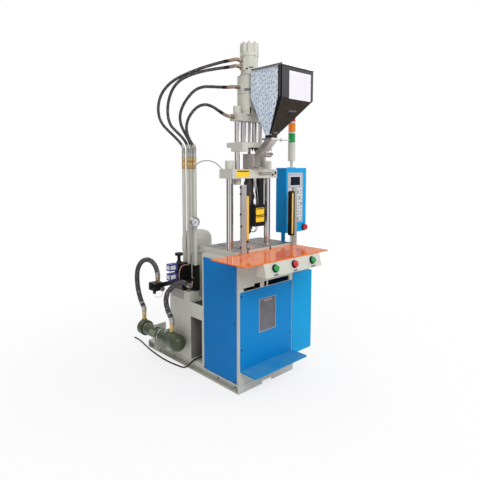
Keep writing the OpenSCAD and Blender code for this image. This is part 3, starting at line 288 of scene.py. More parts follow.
def makeHoseCover(settings):
    tree, shader = newMaterial("hoseCover")
    along = addNode(tree, "ShaderNodeUVMap", {"uv_map": "along"}).outputs["UV"]
    parts = addNode(tree, "ShaderNodeSeparateXYZ", inputs={"Vector": along}).outputs
    place = addNode(tree, "ShaderNodeTexCoord").outputs["Object"]
    slow = addNoise(tree, place, settings["wornScale"], 4.0)
    cover = addColours(tree, slow, settings["cover"], settings["worn"])
    grid = addMapping(tree, along, (1 / settings["fleckPitch"], settings["flecksRound"], 1.0))
    flecks = addNode(tree, "ShaderNodeTexVoronoi", inputs={"Vector": grid, "Scale": 1.0, "Randomness": 1.0})
    small = addMaths(tree, "LESS_THAN", flecks.outputs["Distance"], settings["fleckSize"])
    turn = addMaths(tree, "PINGPONG", parts["Y"], settings["rowsApart"])
    nearRow = addMaths(tree, "COMPARE", turn, settings["rowPlace"], settings["rowWidth"])
    printed = addMaths(tree, "MULTIPLY", small, nearRow)
    wrap = addMaths(tree, "PINGPONG", parts["X"], settings["wrapPitch"] / 2)
    height = addMaths(tree, "MULTIPLY", wrap, 2 / settings["wrapPitch"])
    setInputs(tree, shader, {"Base Color": addColours(tree, printed, cover, settings["fleck"]),
                             "Normal": addBump(tree, height, settings["wrapBump"], settings["wrapDepth"]),
                             "Roughness": settings["roughness"]})


# Ribbed polycarbonate lenses, coloured through, with a little light passing
lensFinish = {"colours": {"greenLens": "#0aa253", "orangeLens": "#fb8c06", "redLens": "#cf2a1e"},
              "cloudScale": 60.0, "roughness": (0.1, 0.2), "ior": 1.4, "transmission": 0.12, "coat": 0.05}


def makeLensFinishes(settings):
    for name, colour in settings["colours"].items():
        tree, shader = newMaterial(name)
        cloud = addNoise(tree, addNode(tree, "ShaderNodeTexCoord").outputs["Object"], settings["cloudScale"])
        setInputs(tree, shader, {
            "Roughness": addRange(tree, cloud, end=settings["roughness"]), "Base Color": toLinear(colour),
            "IOR": settings["ior"], "Transmission Weight": settings["transmission"], "Coat Weight": settings["coat"]})


makeProtectiveFilm(filmSettings)
makeHoseCover(hoseSettings)
makeLensFinishes(lensFinish)
print("special finishes made")


def roundEdges(piece, width, byWeight=False):
    modifier = piece.modifiers.new("roundedEdges", "BEVEL")
    modifier.width = width / 1000
    modifier.segments = 2
    modifier.limit_method = "WEIGHT" if byWeight else "ANGLE"
    modifier.angle_limit = math.radians(40)
    modifier.harden_normals = True


def shadeSmooth(mesh, sharp):
    mesh.shade_smooth()
    mesh.set_sharp_from_angle(angle=math.radians(sharp))


def newPiece(name, bm, meshName, finishNames, bevel, sharp, byWeight=False):
    mesh = bpy.data.meshes.new(meshName)
    bm.to_mesh(mesh)
    bm.free()
    for finishName in finishNames.split():
        mesh.materials.append(bpy.data.materials[finishName])
    shadeSmooth(mesh, sharp)
    piece = newObject(name, mesh)
    if bevel:
        roundEdges(piece, bevel, byWeight)
    return piece


# A mesh that is added to part by part, in millimetres; each part has a material number, and
# the finishes are named in one string in the order of these numbers
class Shape:
    def __init__(self):
        self.bm = bmesh.new()
        self.along = self.bm.loops.layers.uv.new("along")

    def addFace(self, verts, slot):
        face = self.bm.faces.new(verts)
        face.material_index = slot
        return face

    def addSolid(self, verts, faces, slot):
        made = [self.bm.verts.new(Vector(v) / 1000) for v in verts]
        for face in faces:
            self.addFace([made[i] for i in face], slot)
        return self

    def addRing(self, centre, side, cross, radius, count):
        turns = [2 * math.pi * i / count for i in range(count)]
        return [self.bm.verts.new((centre + radius * (math.cos(t) * side + math.sin(t) * cross)) / 1000)
                for t in turns]

    # Faces between two rings, of which one may be a single point
    def addBand(self, low, high, slot):
        steps = max(len(low), len(high))
        made = []
        for i in range(steps):
            j = (i + 1) % steps
            corners = [low[i % len(low)], low[j % len(low)], high[j % len(high)], high[i % len(high)]]
            unique = list(dict.fromkeys(corners))
            if len(unique) > 2:
                made.append(self.addFace(unique, slot))
        return made

    def box(self, low, high, slot=0):
        verts = [(x, y, z) for z in (low[2], high[2]) for y in (low[1], high[1]) for x in (low[0], high[0])]
        faces = [(0, 2, 3, 1), (4, 5, 7, 6), (0, 1, 5, 4), (2, 6, 7, 3), (0, 4, 6, 2), (1, 3, 7, 5)]
        return self.addSolid(verts, faces, slot)

    # An outline of (radius, height) turned round an axis through base; closed joins it to a ring
    def turned(self, outline, base, axis=(0, 0, 1), slot=0, steps=40, closed=False):
        up = Vector(axis).normalized()
        side = up.orthogonal().normalized()
        cross = up.cross(side)
        rings = [self.addRing(Vector(base) + up * height, side, cross, radius, 1 if radius < 1e-6 else steps)
                 for radius, height in outline]
        for low, high in zip(rings, rings[1:] + rings[:1] if closed else rings[1:]):
            self.addBand(low, high, slot)
        if len(rings[0]) > 1 and not closed:
            self.addFace(rings[0][::-1], slot)
        if len(rings[-1]) > 1 and not closed:
            self.addFace(rings[-1], slot)
        return self

    # A ring such as a collar or a washer
    def collar(self, inner, outer, low, high, base, axis=(0, 0, 1), slot=0, steps=40):
        outline = [(inner, low), (outer, low), (outer, high), (inner, high)]
        return self.turned(outline, base, axis, slot, steps, closed=True)

    # A tube along points; the layer "along" gets metres along it and turns round it
    def tube(self, points, radius, slot=0, sides=16):
        points = [Vector(p) for p in points]
        ends = [points[0]] + points + [points[-1]]
        tangents = [(after - before).normalized() for before, after in zip(ends, ends[2:])]
        side = tangents[0].orthogonal().normalized()
        rings, travelled, run = [], [], 0.0
        for i, (point, tangent) in enumerate(zip(points, tangents)):
            side = (side - side.dot(tangent) * tangent).normalized()
            run += (point - points[i - 1]).length / 1000 if i else 0
            travelled.append(run)
            reach = radius[i] if isinstance(radius, list) else radius
            rings.append(self.addRing(point, side, tangent.cross(side), reach, sides))
        for i in range(len(rings) - 1):
            for k, face in enumerate(self.addBand(rings[i], rings[i + 1], slot)):
                turns = ((k, i), (k + 1, i), (k + 1, i + 1), (k, i + 1))
                for loop, (turn, step) in zip(face.loops, turns):
                    loop[self.along].uv = (travelled[step], turn / sides)
        self.addFace(rings[0][::-1], slot)
        self.addFace(rings[-1], slot)
        return self

    # A tube on a smooth line through a few points
    def lead(self, route, radius, slot=0, sides=8, steps=6):
        return self.tube(smoothLine(route, steps), radius, slot, sides)

    # A flat outline given in 3D, pushed along a vector
    def prism(self, outline, push, slot=0):
        push = Vector(push)
        count = len(outline)
        verts = [Vector(p) for p in outline] + [Vector(p) + push for p in outline]
        faces = [tuple(reversed(range(count))), tuple(range(count, 2 * count))]
        faces += [(i, (i + 1) % count, (i + 1) % count + count, i + count) for i in range(count)]
        return self.addSolid(verts, faces, slot)

    # A thin plate bent round an upright axis, or round one along Y when lying
    def bentPlate(self, centre, radius, first, turn, count, low, high, thick, slot=0, lying=False):
        def place(x, y, height):
            return Vector((x, height, y) if lying else (x, y, height))

        for step in range(count):
            a, b = math.radians(first + step * turn), math.radians(first + (step + 1) * turn)
            corners = [place(centre[0] + radius * math.cos(v), centre[1] + radius * math.sin(v), height)
                       for v, height in ((a, low), (b, low), (b, high), (a, high))]
            self.prism(corners, place(math.cos((a + b) / 2) * thick, math.sin((a + b) / 2) * thick, 0), slot)
        return self

    def finished(self, name, finishNames, body, slot, bevel=0.0, nodes=(), sharp=35):
        bmesh.ops.recalc_face_normals(self.bm, faces=self.bm.faces)
        piece = newPiece(name, self.bm, name, finishNames, bevel, sharp)
        if body:
            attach(piece, body)
        if nodes:
            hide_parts(*nodes)
        return piece


# A CAD node's own shape with rounded edges. pick gives a face's material number.
def dressNode(node, finishNames, bevel, pick=None, convexOnly=False):
    bm = bmesh.new()
    bm.from_mesh(frame["nodes"][node].data)
    bmesh.ops.remove_doubles(bm, verts=bm.verts, dist=2e-6)
    bmesh.ops.dissolve_limit(bm, angle_limit=math.radians(0.3), verts=bm.verts, edges=bm.edges)
    for face in bm.faces:
        face.material_index = pick(face.calc_center_median() * 1000, face.normal) if pick else 0
    if convexOnly:  # a fillet in an inner corner would meet the collar when the button is pressed
        weight = bm.edges.layers.float.new("bevel_weight_edge")
        for edge in bm.edges:
            edge[weight] = float(edge.is_manifold and edge.is_convex and edge.calc_face_angle() > 0.7)
    piece = newPiece(node + "Dressed", bm, node, finishNames, bevel, 32, convexOnly)
    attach(piece, bodyOf[node])
    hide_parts(node)


# Points on a smooth line through the given ones, with steps between each two
def smoothLine(points, steps):
    points = [Vector(p) for p in points]
    ends = [points[0] * 2 - points[1]] + points + [points[-1] * 2 - points[-2]]
    line = []
    for a, b, c, d in zip(ends, ends[1:], ends[2:], ends[3:]):
        for k in range(steps):
            t = k / steps
            bend = (2 * a - 5 * b + 4 * c - d) * t * t
            line.append(0.5 * (2 * b + (c - a) * t + bend + (3 * b - a - 3 * c + d) * t ** 3))
    return line + [points[-1]]


left, right, front, back, up = (-1, 0, 0), (1, 0, 0), (0, -1, 0), (0, 1, 0), (0, 0, 1)
# Axes in mm: the motor's cowl, the injection head and the signal tower in plan, and the cooler
# seen from the front
cowl, head, tower, coolerAxis = (-65, 160), (0, -385), (495, -365), (-355, 208)

# Supply cable, 12 mm across and 1.08 m long, from the tank's recess over the base to the floor
cableSettings = {"thickness": 12, "length": 1.08, "route": [
    (-155, -98, 104), (-166, -98, 104), (-196, -96, 101), (-226, -92, 99), (-256, -84, 96), (-283, -70, 82),
    (-302, -50, 56), (-312, -24, 28), (-318, 6, 11), (-324, 40, 6.3), (-330, 80, 6.3), (-337, 125, 6.3),
    (-342, 175, 6.3), (-344, 230, 6.3), (-342, 290, 6.3), (-338, 350, 6.3), (-332, 410, 6.3), (-325, 470, 6.3),
    (-315, 535, 6.3), (-303, 600, 6.3), (-290, 665, 6.3), (-280, 730, 6.3), (-276, 785, 6.3), (-276, 830, 6.3)],
    "gland": [(15, 0), (15, 6), (11, 8), (9.5, 22), (7.2, 40), (6.4, 40)]}


def makeCable(settings):
    line = smoothLine(settings["route"], 3)
    shape = Shape().tube(line, settings["thickness"] / 2 - 0.05, sides=14)
    cable = shape.finished("powerCable", "cableSheath", "machine", "rubber", nodes=["power_cable"])
    gland = Shape().turned(settings["gland"], settings["route"][0], left, steps=24)
    gland.finished("cableGland", "blackPlastic", "machine", "black_plastic", 0.8)


makeCable(cableSettings)

# Four hoses from the risers to the moving head, and two thick ones at the cooler, each on its
# route in the solids. A sleeve is its material number, the stretch in mm from the hose's start,
# or from its far end, and its radius.
towerHoses = {"thickness": 21.6, "routes": {
    "motorHoseFront": [
        (-118, -385, 2296), (-130, -385, 2296), (-150, -352, 2291), (-185, -300, 2282), (-225, -220, 2267),
        (-262, -130, 2249), (-300, -40, 2224), (-338, 50, 2190), (-366, 125, 2140), (-379, 180, 2078),
        (-378, 212, 2005), (-362, 226, 1935), (-334, 222, 1880), (-296, 205, 1835), (-256, 182, 1790),
        (-224, 157, 1746), (-205, 137, 1704), (-205, 137, 1690)],
    "motorHoseBack": [
        (-118, -385, 2252), (-130, -385, 2252), (-150, -330, 2249), (-183, -270, 2245), (-218, -208, 2239),
        (-255, -142, 2229), (-292, -70, 2211), (-325, 0, 2181), (-344, 60, 2132), (-350, 104, 2067),
        (-346, 134, 1998), (-334, 148, 1930), (-312, 147, 1872), (-276, 131, 1828), (-240, 111, 1787),
        (-215, 92, 1744), (-205, 79, 1704), (-205, 79, 1690)],
    "cylinderHose": [
        (-138, -385, 2108), (-150, -385, 2108), (-170, -340, 2108), (-195, -283, 2113), (-218, -220, 2121),
        (-241, -158, 2124), (-266, -98, 2106), (-286, -38, 2058), (-296, 15, 1998), (-293, 52, 1935),
        (-276, 66, 1875), (-251, 62, 1822), (-226, 50, 1770), (-211, 40, 1730), (-205, 35, 1704),
        (-205, 35, 1690)],
    "topPlateHose": [
        (-178, -385, 1902), (-190, -385, 1902), (-204, -350, 1917), (-218, -300, 1948), (-230, -250, 1978),
        (-246, -196, 1996), (-262, -140, 1990), (-274, -82, 1958), (-278, -28, 1905), (-270, 6, 1845),
        (-250, 14, 1785), (-224, 6, 1735), (-209, -1, 1715), (-205, -4, 1704), (-205, -4, 1690)]},
    "sleeves": [(1, 6, 62, 12.6), (2, 66, 104, 11.9)], "farSleeves": [(3, 4, 40, 12.6)]}
coolerHoses = {"thickness": 39.6, "routes": {
    "returnHose": [
        (-295, 395, 640), (-295, 395, 664), (-297, 403, 702), (-304, 420, 744), (-319, 445, 776),
        (-341, 474, 790), (-366, 500, 781), (-385, 521, 752), (-397, 536, 710), (-402, 542, 660),
        (-402, 542, 605), (-398, 540, 550), (-390, 535, 495), (-378, 529, 440), (-364, 523, 398),
        (-355, 520, 368), (-355, 520, 346)],
    "drainHose": [
        (-242, 5, 645), (-262, 5, 645), (-284, 8, 662), (-308, 16, 678), (-333, 30, 680), (-360, 54, 664),
        (-379, 88, 626), (-388, 115, 590), (-388, 133, 552), (-386, 140, 515), (-381, 137, 475),
        (-373, 128, 433), (-362, 116, 396), (-355, 110, 368), (-355, 110, 346)]},
    "sleeves": [(3, 4, 50, 20.6)], "farSleeves": [(3, 2, 52, 20.8), (4, 78, 92, 20.9)]}
hoseSkins, tape, beadDepth = "hoseCover bronzedSteel blackPlastic zincPlate whiteVinyl", 4, 0.7


# A sleeve on the stretch of the line between two distances from its start, beaded unless tape
def sleeveOn(shape, line, begin, finish, radius, slot):
    run, points = 0.0, []
    for a, b in zip(line, line[1:]):
        if begin <= run <= finish:
            points.append(a)
        run += (b - a).length
    if len(points) > 1:
        radii = [radius - beadDepth * (slot != tape and k % 2) for k in range(len(points))]
        shape.tube(points, radii, slot, 24)


def makeHose(route, settings):
    line = smoothLine(route, 9)
    total = sum((b - a).length for a, b in zip(line, line[1:]))
    shape = Shape().tube(line, settings["thickness"] / 2, sides=20)
    for slot, begin, finish, radius in settings["sleeves"]:
        sleeveOn(shape, line, begin, finish, radius, slot)
    for slot, begin, finish, radius in settings["farSleeves"]:
        sleeveOn(shape, line, total - finish, total - begin, radius, slot)
    return shape


for hoseName, route in towerHoses["routes"].items():
    hose = makeHose(route, towerHoses).finished(hoseName, hoseSkins, None, "rubber", sharp=50)
    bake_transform(hose)
    if hoseName == "motorHoseFront":
        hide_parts("tower_hoses")
for hoseName, route in coolerHoses["routes"].items():
    hose = makeHose(route, coolerHoses).finished(hoseName, hoseSkins, "machine", "rubber", sharp=50)
    if hoseName == "returnHose":
        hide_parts("cooler_hoses")
print("cable and hoses laid")

# Turned unions with hexagons, between the pipes, the cooler or the filter and the hoses. A turn
# is its number of sides, its material number and its outline of (radius, height).
unionSettings = [
    {"places": [(-205, y, 0) for y in (137, 79, 35, -4)], "turns": [
        (6, 0, [(14.6, 1540), (14.6, 1556)]), (24, 0, [(12.6, 1556), (12.6, 1562)]),
        (24, 0, [(14.4, 1562), (15, 1564), (15, 1584), (14.4, 1586)]), (6, 0, [(14.2, 1586), (14.2, 1604)]),
        (24, 0, [(13, 1604), (14.6, 1606), (14.6, 1623), (12.5, 1625)]),
        (24, 1, [(12.4, 1625), (13.4, 1628), (13.4, 1640), (12.6, 1642), (13.4, 1644), (13.4, 1656),
                 (12.6, 1658), (13.4, 1660), (13.4, 1689.5)])]},
    {"places": [(-355, y, 0) for y in (520, 110)], "turns": [
        (6, 0, [(19, 276), (19, 292)]), (24, 0, [(15.5, 292), (15.5, 298)]), (6, 0, [(18.6, 298), (18.6, 314)]),
        (24, 0, [(17, 314), (18.4, 317), (18.4, 328), (17.4, 330), (18.6, 332), (18.6, 345.8)])]},
    {"places": [(-295, 395, 0)], "turns": [
        (6, 0, [(18.4, 606), (18.4, 618)]), (24, 0, [(16.5, 618), (18.6, 621), (18.6, 639.8)])]}]


def makeUnions(settings):
    shape = Shape()
    for group in settings:
        for place in group["places"]:
            for steps, slot, outline in group["turns"]:
                shape.turned(outline, place, slot=slot, steps=steps)
    shape.finished("hoseUnions", "dullBrass zincPlate", "machine", "brass", 0.6, ["hose_fittings"])


makeUnions(unionSettings)

# Nodes whose shape is right keep it, with a real finish and rounded edges, given in mm
dressed = {
    "machineEnamel": {"base_frame": 1.5, "cabinet_frame": 0.8, "crosshead": 2.5, "rod_nuts": 1.2,
                      "injection_plate": 2.5, "button_console": 1, "signal_tower": 1, "riser_pipes": 0.5,
                      "cooler_brackets": 0.8},
    "castEnamel": {"motor_cap": 1.8, "electric_motor": 1.5}, "greenEnamel": {"oil_cooler": 1.5},
    "shadedSideBlueEnamel": {"side_panels": 0.6}, "panelEnamel": {"front_panel": 0.6}, "skyEnamel": {"switch_cabinet": 0.8},
    "blackEnamel": {"lower_yoke": 2, "clamp_cylinder": 1.5, "barrel_cover": 1.2, "gauge_needle": 0},
    "hardChrome": {"tie_bars": 1, "clamp_rod": 1, "guide_rods": 1, "injection_piston": 1, "screw": 0},
    "turnedSteel": {"barrel": 1, "nozzle": 0.6, "heater_bands": 0.6}, "castSteel": {"feed_block": 1.5},
    "brushedStainless": {"feed_chute": 0.8, "chute_plug": 1, "slide_gate": 0.5, "hopper_lid": 0.6},
    "dullBrass": {"tie_bar_bushes": 0.5}, "anodisedAluminium": {"curtain_posts": 1},
    "orangeAcrylic": {"table_board": 1}, "panelPlastic": {"keypad_panel": 0.8},
    "blackPlastic": {"button_collars": 0.8, "relief_knob": 2}, "coilPlastic": {"solenoid_coils": 3},
}
for finish, widths in dressed.items():
    for node, bevel in widths.items():
        dressNode(node, finish, bevel)
for node, finish, bevel in (("left_button", "greenPlastic", 2), ("stop_button", "redPlastic", 2),
                            ("right_button", "greenPlastic", 2), ("emergency_stop", "redPlastic", 3)):
    dressNode(node, finish, bevel, convexOnly=True)

# These have more than one finish, told apart by a face's centre in mm or by how it faces: the
# table's ground top and bores, the ports on the left, the knob on the valves, the film and the
# upright front of the hopper with painted reflections, the painted shade in the tank's recess, the
# control box's left side in painted shade, the step's greyer upper face and the seal of the gate
twoFinishes = [
    ("machine_table", "machineEnamel groundSteel", 1.2,
     lambda at, way: way.z > 0.5 or abs(abs(at.x) - 115) < 13),
    ("injection_cylinder", "castEnamel bronzedSteel", 1.5, lambda at, way: at.x < -99),
    ("hydraulic_motor", "castEnamel bronzedSteel", 1.5, lambda at, way: at.x < -77),
    ("top_plate", "machineEnamel bronzedSteel", 2.5, lambda at, way: at.x < -148),
    # The control box's left side is painted in the darker blue as shade, and its bracket below in the same blue
    ("control_box", "skyEnamel panelEnamel", 1.2, lambda at, way: way.x < -0.5 or at.z < 1030),
    ("valve_block", "blackEnamel zincPlate", 1.5,
     lambda at, way: abs(at.x + 283) < 21 and abs(at.z - 556) < 21 and at.y < 352),
    # The hopper's upright front is painted nearly black and its other faces dark, as painted reflections
    ("hopper", "polishedStainless protectiveFilm uprightStainless", 0,
     lambda at, way: 1 if way.x < -0.5 and at.x < -72 else 2 if way.y < -0.98 else 0),
    # The faces inside the tank's recess get the dark grey of painted shade
    ("oil_tank", "machineEnamel greyPrimer", 1.5,
     lambda at, way: -274 < at.x < -150 and -161 < at.y < -20 and 100 < at.z < 420),
    ("step_plate", "panelEnamel wornEnamel", 0.8, lambda at, way: way.z > 0.5),
    ("gate_housing", "brushedStainless blackPlastic", 0.5, lambda at, way: at.z > 1748.5),
]
for node, finishNames, bevel, pick in twoFinishes:
    dressNode(node, finishNames, bevel, pick)
print("solids dressed")

# Signal lenses: ribbed round, with pale rings between them and a cap on top
lensSettings = {"centre": tower, "radius": 29, "ribs": 12, "height": 72, "starts": (1751, 1833, 1915),
                "rings": (1823, 1905), "cap": (1987, [(29, 0), (29, 7), (27, 10)])}


def makeLenses(settings):
    shape = Shape()
    x, y = settings["centre"]
    radius, height = settings["radius"], settings["height"]
    step = (height - 4) / settings["ribs"]
    outline = [(radius - 4, 0), (radius - 1.5, 0)]
    for k in range(settings["ribs"]):
        low = 2 + k * (height - 4) / settings["ribs"]
        outline += [(radius - 1.4, low), (radius - 0.1, low + step * 0.5)]
    outline += [(radius - 1.5, height - 1), (radius - 4, height)]
    for index, start in enumerate(settings["starts"]):
        shape.turned(outline, (x, y, start), slot=index, steps=36)
    for start in settings["rings"]:
        shape.turned([(27, 0), (27, 10)], (x, y, start), slot=3, steps=36)
    start, cap = settings["cap"]
    shape.turned(cap, (x, y, start), slot=3, steps=36)
    shape.finished("signalLenses", "greenLens orangeLens redLens whiteVinyl", "machine", "lens_plastic",
                   nodes=["tower_lenses"])


makeLenses(lensSettings)

# Pressure gauge: case, bezel, enamelled dial with tick marks and a pipe to the riser
gaugeSettings = {"centre": (-240, -56, 1142), "radius": 37.5, "ticks": 27, "sweep": 270, "longEach": 5,
                 "pipe": 4.4, "pipeY": -4, "bottom": 704.5}


def makeGauge(settings):
    x, y, z = settings["centre"]
    r, pipe, pipeY, bottom = settings["radius"], settings["pipe"], settings["pipeY"], settings["bottom"]
    shape = Shape().turned([(r - 3, 0), (r - 1, 2), (r - 1, 20), (r - 4, 20)], (x, y + 8, z), back, 0, 48)
    shape.collar(r - 4.5, r, 0, 7, (x, y, z), back, 0, 48)
    shape.turned([(r - 4, 0), (r - 4, 0.6)], (x, y + 7.4, z), back, 1, 48)
    base = Vector((x, y + 7.3, z))
    for k in range(settings["ticks"]):
        angle = math.radians(-settings["sweep"] / 2 + settings["sweep"] * k / (settings["ticks"] - 1))
        isLong = k % settings["longEach"] == 0
        out = Vector((math.sin(angle), 0, math.cos(angle)))
        side = Vector((math.cos(angle), 0, -math.sin(angle))) * (0.7 if isLong else 0.35)
        near, far = r - 12 if isLong else r - 9, r - 6
        shape.prism([base + out * near - side, base + out * far - side, base + out * far + side,
                     base + out * near + side], (0, -0.25, 0), 2)
    shape.tube([(x, -28, z), (x, -6, z), (x, pipeY, z - 3), (x, pipeY, z - 20), (x, pipeY, 710),
                (x + 2, pipeY, bottom), (-222, pipeY, bottom)], pipe, 3, 12)
    shape.tube([(x, pipeY, z), (-219, pipeY, z)], pipe, 3, 12)
    shape.turned([(9, 0), (9, 10)], (x, -30, z), back, 3, 6)
    shape.finished("pressureGauge", "zincPlate dialEnamel blackEnamel zincPlate", "machine", "machined_steel",
                   0.5, ["pressure_gauge"])


makeGauge(gaugeSettings)


# A node group that sets one shape on each point and gives them all one finish. build gets the
# tree and the group's inputs, and returns the shape and how it is turned.
def copiesGroup(name, sizes, build):
    tree = bpy.data.node_groups.new(name, "GeometryNodeTree")
    addSocket = tree.interface.new_socket
    addSocket("Geometry", in_out="INPUT", socket_type="NodeSocketGeometry")
    named = {size: addSocket(size, in_out="INPUT", socket_type="NodeSocketFloat").identifier for size in sizes}
    named["Finish"] = addSocket("Finish", in_out="INPUT", socket_type="NodeSocketMaterial").identifier
    addSocket("Geometry", in_out="OUTPUT", socket_type="NodeSocketGeometry")
    entry = addNode(tree, "NodeGroupInput").outputs
    copies = addNode(tree, "GeometryNodeInstanceOnPoints", inputs={"Points": entry["Geometry"], **build(tree, entry)})
    real = addNode(tree, "GeometryNodeRealizeInstances", inputs={"Geometry": copies.outputs[0]})
    painted = addNode(tree, "GeometryNodeSetMaterial", inputs={
        "Geometry": real.outputs[0], "Material": entry["Finish"]})
    addNode(tree, "NodeGroupOutput", inputs={0: painted.outputs[0]})
    return tree, named


# Copies on places in mm, all on one body; facings turn them, and a bevel rounds them
def placeCopies(name, group, sizes, finish, places, body, facings=(), bevel=0.0):
    tree, named = group
    mesh = bpy.data.meshes.new(name + "Points")
    mesh.from_pydata([Vector(p) / 1000 for p in places], [], [])
    if facings:
        facing = mesh.attributes.new("facing", "FLOAT_VECTOR", "POINT")
        for item, value in zip(facing.data, facings):
            item.vector = value
    carrier = newObject(name + "Carrier", mesh)
    modifier = carrier.modifiers.new("copies", "NODES")
    modifier.node_group = tree
    for size, value in sizes.items():
        modifier[named[size]] = value / 1000
    modifier[named["Finish"]] = bpy.data.materials[finish]
    result = bpy.data.meshes.new_from_object(carrier.evaluated_get(bpy.context.evaluated_depsgraph_get()))
    bpy.data.objects.remove(carrier)
    piece = newObject(name, result)
    if bevel:
        roundEdges(piece, bevel)
    else:
        shadeSmooth(result, 35)
    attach(piece, body)


# A round head with a hexagon in it that stands a little higher
headSettings = {"sides": 20, "hexagon": 0.52, "rise": 1.35}


def screwHead(tree, entry):
    radius, height = entry["Head Radius"], entry["Head Height"]
    inner = addMaths(tree, "MULTIPLY", radius, headSettings["hexagon"])
    higher = addMaths(tree, "MULTIPLY", height, headSettings["rise"])
    joined = addNode(tree, "GeometryNodeJoinGeometry")
    for sides, wide, tall in ((headSettings["sides"], radius, height), (6, inner, higher)):
        part = addNode(tree, "GeometryNodeMeshCylinder", inputs={"Vertices": sides, "Radius": wide, "Depth": tall})
        tree.links.new(part.outputs["Mesh"], joined.inputs[0])
    way = addNode(tree, "GeometryNodeInputNamedAttribute", {"data_type": "FLOAT_VECTOR"}, {"Name": "facing"})
    turn = addNode(tree, "FunctionNodeAlignRotationToVector", {"axis": "Z"}, {"Vector": way.outputs["Attribute"]})
    return {"Instance": joined.outputs[0], "Rotation": turn.outputs[0]}


# Places in a grid, and on a level circle at given angles, which may lie evenly round it
def grid(xs, ys, zs):
    return [(x, y, z) for x in xs for y in ys for z in zs]


def circle(x, y, z, radius, angles):
    return [(x + radius * math.cos(a), y + radius * math.sin(a), z) for a in angles]


def evenly(first, count):
    return [math.radians(first + 360 / count * k) for k in range(count)]


screws = copiesGroup("roundHeadScrews", ("Head Radius", "Head Height"), screwHead)
# Rows of screws: way they face, head radius and height in mm, finish, body and places. Those
# on the motor's cowl face away from its axis.
screwRows = {
    "sidePanelScrewsLeft": (left, 6, 2.8, "blackEnamel", "machine", grid([-277.2], (-528, -199), (886, 482, 72))),
    "sidePanelScrewsRight": (right, 4.5, 2.4, "blackEnamel", "machine", grid([277.2], (-528, -199), (886, 700))),
    "frontPanelScrews": (front, 6, 2.8, "blackEnamel", "machine", grid((-254, 254), [-575.7], (680, 308))),
    "keypadScrews": (front, 3, 1.6, "zincPlate", "machine", grid((393, 567), [-421.2], (1119, 1505))),
    "frontPlateScrews": (front, 2.6, 1.2, "zincPlate", "machine", grid((-76, 77), [-576.7], (400, 617))),
    "baseBolts": (left, 6, 4, "blackEnamel", "machine", grid([-286.3], (-545, -364, 180), [44])),
    "crossheadBolts": (up, 8, 7, "blackEnamel", "moving_head", grid((-70, 70), (-430, -340), [1540.4])),
    "motorFlangeBolts": (up, 5, 5, "blackEnamel", "moving_head", circle(*head, 2206, 62, evenly(22.5, 8))),
    "feedBlockBolts": (left, 8, 9, "castSteel", "moving_head", grid([-40.4], (-444, -376), (1572, 1628))),
    "chuteFlangeBolts": (front, 3.2, 4, "zincPlate", "moving_head", grid((-37, 37), [-466.4], (1562, 1637))),
    "postScrews": (left, 7, 8, "blackPlastic", "machine", [
        (-196.4, y, z) for y, z in ((-505, 1416), (-505, 1372), (-505, 1233), (-511, 1150), (-505, 1002))]),
    "coverScrews": (front, 3, 2, "zincPlate", "moving_head", grid((-20, 71), [-470.3], (1136, 1278))),
    "motorCowlScrews": (None, 4, 3, "blackEnamel", "machine", circle(*cowl, 905, 120.3, (3.6, 5.2, 2.0, 0.4))),
    "coolerBossBolts": (back, 6, 6, "zincPlate", "machine", [
        (x, 535.8, z) for x, z, _ in circle(*coolerAxis, 0, 52, evenly(30, 6))]),
    "tankLidBolts": (up, 5, 4, "zincPlate", "machine", grid((-255, 255), (-20, 232), [530.3])),
    "valveBolts": (front, 5, 6, "blackEnamel", "machine", grid((-213, -189), [-22.4], (612, 700, 788))),
    "towerFootScrews": (up, 2.6, 1.6, "zincPlate", "machine", circle(*tower, 1555.3, 29, (0.8, 2.4, 3.9, 5.5))),
    # Tapped holes over the table's top, each a thin dark disc of painted shade in a ground plate
    "tableHoles": (up, 4.2, 0.3, "darkHollow", "machine", [
        (x, y, z) for x, y, z in grid(range(-165, 350, 45), (-470, -430, -335, -290, -240, -190, -155), [972.1])
        if abs(abs(x) - 115) > 14 and math.hypot(abs(x) - 190, y + 385) > 44]),
}
for rowName, (facing, radius, height, finish, body, places) in screwRows.items():
    facings = [facing or (p[0] - cowl[0], p[1] - cowl[1], 0) for p in places]
    placeCopies(rowName, screws, {"Head Radius": radius, "Head Height": height}, finish, places, body,
                facings)
print("screws placed")

# Bare plates, in place of the printed ones: finishes, body, bevel in mm, slot, and boxes with
# their material numbers
plateSettings = {
    "frontBarePlate": ("palePlate etchedPlate", "machine", 0.4, "grey_plastic", [
        ((-87, -576.6, 388), (88, -575.5, 630), 0), ((-82, -576.9, 393), (83, -576.5, 625), 1),
        ((-40, -577.1, 606), (41, -576.8, 616), 0)]),
    "hopperBarePlate": ("whiteVinyl dialEnamel", "moving_head", 0.3, "grey_plastic", [
        ((-4, -763.8, 2001), (220, -763.0, 2182), 0), ((6, -764.1, 2164), (60, -763.7, 2176), 1)]),
    "crossheadBarePlate": ("yellowVinyl blackEnamel", "moving_head", 0.3, "yellow_plastic", [
        ((-190, -455.8, 1487), (-63, -455.0, 1533), 0), ((-182, -456.0, 1522), (-72, -455.7, 1530), 1)]),
    "coverBarePlates": ("yellowVinyl blackEnamel", "moving_head", 0.3, "yellow_plastic", [
        ((-14, -470.8, 1160), (70, -470.0, 1204), 0), ((-8, -471.0, 1193), (64, -470.7, 1200), 1),
        ((-14, -470.8, 1212), (70, -470.0, 1262), 0), ((-8, -471.0, 1251), (64, -470.7, 1258), 1)]),
    "coilBarePlates": ("whiteVinyl", "machine", 0, "grey_plastic", [
        ((-376, 83.0, 701), (-332, 84.0, 731), 0), ((-383.0, 92, 700), (-382.0, 128, 730), 0),
        ((-376, 83.0, 774), (-332, 84.0, 804), 0), ((-383.0, 92, 773), (-382.0, 128, 803), 0)]),
}
# The three under the push buttons lie on the console's slope
buttonPlates = {"top": (-808, 947), "lean": (0, -26, -88), "out": (0, -88, 26), "drop": 82, "lift": 0.1,
                "places": (-190, 0, 190), "half": (20, 5), "thickness": 0.6}


